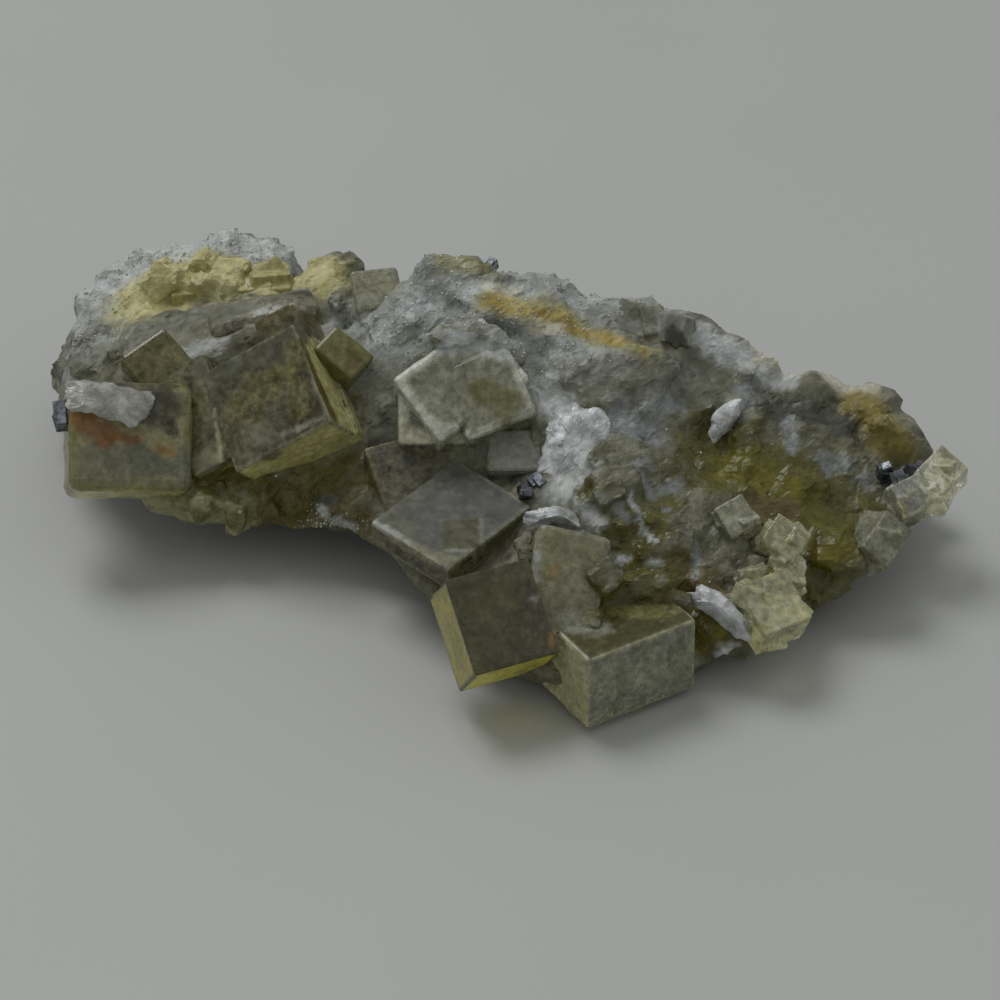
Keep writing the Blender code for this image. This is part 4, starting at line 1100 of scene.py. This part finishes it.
class Finish:
    """A node material with short calls to add and join its nodes."""

    def __init__(self, name):
        """An empty material with its shader, and the piece's own place to read patterns by."""
        self.made = bpy.data.materials.new(name)
        self.made.use_nodes = True
        self.tree = self.made.node_tree
        self.tree.nodes.clear()
        self.out = self.tree.nodes.new("ShaderNodeOutputMaterial")
        self.shader = self.tree.nodes.new("ShaderNodeBsdfPrincipled")
        self.feed(self.out.inputs["Surface"], self.shader.outputs[0])
        self.place = self.add("TexCoord", {}).outputs["Object"]

    def feed(self, socket, value):
        """Gives a socket a plain value, or joins another node's output to it."""
        if isinstance(value, bpy.types.NodeSocket):
            self.tree.links.new(value, socket)
        else:
            socket.default_value = value

    def set(self, **values):
        """Feeds the shader's sockets."""
        for word, value in values.items():
            self.feed(self.shader.inputs[word.replace("_", " ")], value)

    def add(self, kind, inputs):
        """Adds a node and feeds its inputs."""
        node = self.tree.nodes.new("ShaderNode" + kind)
        for word, value in inputs.items():
            self.feed(node.inputs[word], value)
        return node

    def value(self, name, output="Fac"):
        """What is kept at the mesh's points under this name."""
        node = self.add("Attribute", {})
        node.attribute_name = name
        return node.outputs[output]

    def noise(self, size, detail=3.0, rough=0.55):
        """Noise whose broadest waves are of this size."""
        lay = self.add("Mapping", {"Vector": self.place, "Scale": [1 / (size * MM)] * 3})
        inputs = {"Vector": lay.outputs[0], "Scale": 1.0, "Detail": detail, "Roughness": rough}
        return self.add("TexNoise", inputs).outputs["Fac"]

    def cells(self, size):
        """Flat cells of this size, each of its own colour."""
        inputs = {"Vector": self.place, "Scale": 1 / (size * MM)}
        return self.add("TexVoronoi", inputs).outputs["Color"]

    def ramp(self, value, to_low=0.0, to_high=1.0, low=NOISE_LOW, high=NOISE_HIGH):
        """A smooth step from to_low at low to to_high at high."""
        node = self.add("MapRange", {
            "Value": value, "From Min": low, "From Max": high, "To Min": to_low, "To Max": to_high})
        node.interpolation_type = "SMOOTHSTEP"
        return node.outputs[0]

    def math(self, word, a, b, clamp=False):
        """Two numbers put together, and kept between 0 and 1 if clamped."""
        node = self.add("Math", {0: a, 1: b})
        node.operation = word
        node.use_clamp = clamp
        return node.outputs[0]

    def mix(self, share, a, b, way="MIX"):
        """Two colours put together."""
        node = self.add("Mix", {0: share, 6: a, 7: b})
        node.data_type = "RGBA"
        node.blend_type = way
        return node.outputs[2]

    def tint(self, fine, low, high):
        """The tint kept at the mesh's points, made darker and lighter by fine grain."""
        shade = self.ramp(fine, low, high)
        grey = self.add("CombineColor", {"Red": shade, "Green": shade, "Blue": shade})
        return self.mix(1.0, self.value("tint", "Color"), grey.outputs[0], "MULTIPLY")

    def roughness(self, fine, low, high):
        """The roughness kept at the mesh's points, moved up and down by fine grain."""
        return self.math("ADD", self.value("rough"), self.ramp(fine, low, high), True)

    def bump(self, height, depth, strength):
        """Fine relief, as deep as depth in millimetres."""
        inputs = {"Distance": depth * MM, "Strength": strength, "Height": height}
        return self.add("Bump", inputs).outputs[0]

    def absorb(self, colour, density):
        """Light that takes on a colour with its way through the piece."""
        volume = self.add("VolumeAbsorption", {"Color": colour, "Density": density})
        self.feed(self.out.inputs["Volume"], volume.outputs[0])


def rock_finish():
    """The rock: the tint at its points, broken by fine grain, with a crystalline bump."""
    f = Finish("rock_finish")
    fine = f.noise(0.45, 4, 0.65)
    f.set(Base_Color=f.tint(fine, 0.80, 1.20), Roughness=f.roughness(fine, -0.08, 0.10))
    f.set(Normal=f.bump(fine, 0.08, 0.6), Specular_IOR_Level=0.35, IOR=1.45)
    return f.made


def fluorite_finish(name, soak, density):
    """Fluorite: glass that takes up light with depth, clear or frosted as its points say."""
    f = Finish(name)
    fine = f.noise(0.5, 4, 0.65)
    f.set(Base_Color=f.tint(fine, 0.83, 1.17), Roughness=f.roughness(fine, -0.04, 0.06))
    f.set(Transmission_Weight=f.math("ADD", f.value("clear"), f.ramp(fine, 0.06, -0.06), True))
    frost = f.math("SUBTRACT", 1.05, f.value("clear"))
    f.set(Normal=f.bump(f.math("MULTIPLY", fine, frost), 0.07, 0.5))
    f.set(Specular_IOR_Level=0.3, IOR=1.434)
    f.absorb(soak, density)
    return f.made


def quartz_finish(name, dark, light, clear):
    """Quartz: milky or clear, with frosted grain and clearer veins."""
    f = Finish(name)
    broad, fine = f.noise(1.4, 4, 0.6), f.noise(0.4, 3, 0.6)
    f.set(Base_Color=f.mix(f.ramp(broad), dark, light), Roughness=f.ramp(fine, 0.15, 0.45))
    f.set(Transmission_Weight=f.ramp(broad, clear + 0.15, clear - 0.15))
    f.set(Normal=f.bump(fine, 0.08, 0.4), IOR=1.54)
    return f.made


def grain_finish():
    """The crust's small crystals, each of its own shade."""
    f = Finish("crust_finish")
    colour = f.mix(f.value("shade"), paint(108, 110, 104), paint(172, 174, 170))
    f.set(Base_Color=colour, Roughness=f.ramp(f.noise(0.3, 2), 0.10, 0.35), IOR=1.54)
    return f.made


def galena_finish():
    """Galena: lead-grey metal with cubic cleavage steps and dull tarnish."""
    f = Finish("galena_finish")
    broad, fine = f.noise(0.9, 4, 0.6), f.noise(0.25, 3)
    colour = f.mix(f.ramp(broad, low=0.35), paint(57, 59, 62), paint(104, 107, 111))
    f.set(Base_Color=colour, Metallic=f.ramp(broad, 0.7, 1.0, 0.25, 0.6))
    f.set(Roughness=f.ramp(fine, 0.34, 0.62), Normal=f.bump(f.cells(0.5), 0.05, 0.5))
    return f.made


def floor_finish():
    """A plain pale floor, with painted shade that makes it a little darker towards the back."""
    f = Finish("floor_finish")
    # painted shade: the floor's colour darkens towards the back
    back = f.ramp(f.add("SeparateXYZ", {0: f.place}).outputs["Y"], low=-0.10, high=0.25)
    tone = f.math("ADD", f.math("MULTIPLY", f.ramp(f.noise(60, 2)), 0.15), back)
    near, far = (0.455, 0.463, 0.449, 1), (0.376, 0.383, 0.371, 1)
    f.set(Base_Color=f.mix(tone, near, far), Roughness=0.6)
    return f.made


# ---------------------------------------------------------------------------------------------
# Putting it together

rock = make_rock()
rock.data.materials.append(rock_finish())
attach(rock, "root")
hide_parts("matrix")

SOAKS = {  # the colour that light takes on in each fluorite, and how fast
    "fluorite_yellow": ((0.88, 0.83, 0.30, 1), 260.0),
    "fluorite_pale": ((0.92, 0.90, 0.58, 1), 110.0),
    "fluorite_dark": ((0.80, 0.75, 0.46, 1), 300.0),
}
finishes = {slot: fluorite_finish(slot + "_finish", *soak) for slot, soak in SOAKS.items()}
for name, blocks in CRYSTALS.items():
    made = make_crystals(name + "_clear", name, blocks)
    drop_bubbles(made.data)
    slot = SLOTS.get(name, "fluorite_dark")
    made.data.materials.append(finishes[slot])
    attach(made, "root")
    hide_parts(name)

metal = galena_finish()
for name, specs in GALENA.items():
    made = make_galena(name + "_grains", specs)
    made.data.materials.append(metal)
    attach(made, "root")
    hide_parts(name)

milky = quartz_finish("milky_quartz_finish", paint(142, 144, 142), paint(184, 186, 188), 0.2)
clear = quartz_finish("clear_quartz_finish", paint(136, 136, 126), paint(168, 169, 162), 0.5)
for k, (name, spec) in enumerate(QUARTZ.items()):
    made = make_quartz(name + "_white", *spec, QUARTZ_SEED + 10 * k)
    made.data.materials.append(clear if name == "quartz_plate" else milky)
    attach(made, "root")
    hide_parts(name)

crust_value = np.empty(len(rock.data.vertices), np.float32)
rock.data.attributes["crust"].data.foreach_get("value", crust_value)
crust = sprinkle(
    "crust", rock, crust_value**2 + CRUST_STRAYS, CRUST_COUNT, CRUST_SIZES, CRUST_SEED)
crust.data.materials.append(grain_finish())
drop_bubbles(rock.data)
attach(crust, "root")

# The stage: floor, sky, lamp and camera
FLOOR = [(-900, -500, 0), (900, -500, 0), (900, 1300, 0), (-900, 1300, 0)]
FLOOR_DROP = 0.03  # the floor lies this far below the specimen's foot
floor = new_piece("floor", np.array(FLOOR) - (0, 0, FLOOR_DROP), [(0, 1, 2, 3)])
floor.data.materials.append(floor_finish())

world = bpy.data.worlds.new("studio")
bpy.context.scene.world = world
world.use_nodes = True
sky = world.node_tree.nodes["Background"]
sky.inputs["Color"].default_value = (0.98, 1.0, 0.99, 1)
sky.inputs["Strength"].default_value = 0.42


def stand(name, data, place, aim):
    """Puts a lamp or a camera at its place and turns it to its aim."""
    made = bpy.data.objects.new(name, data)
    bpy.context.scene.collection.objects.link(made)
    made.location = Vector(place) * MM
    made.rotation_euler = (Vector(aim) - Vector(place)).to_track_quat("-Z", "Y").to_euler()
    return made


LAMP, LAMP_SIZE, WATTS = (-190, 230, 550), 340, 1.55
window = bpy.data.lights.new("window", "AREA")
window.shape = "DISK"
window.size = LAMP_SIZE * MM
window.energy = WATTS
stand("window", window, LAMP, (0, 0, 0))

EYE, AIM = (-0.026, -249.947, 178.408), (-0.026, -4.201, 6.335)
LENS, SENSOR = 139.64, 36.0
camera = bpy.data.cameras.new("camera")
camera.lens = LENS
camera.sensor_width = SENSOR
camera.clip_start = 0.01
bpy.context.scene.camera = stand("camera", camera, EYE, AIM)
bpy.context.scene.view_settings.view_transform = "Standard"
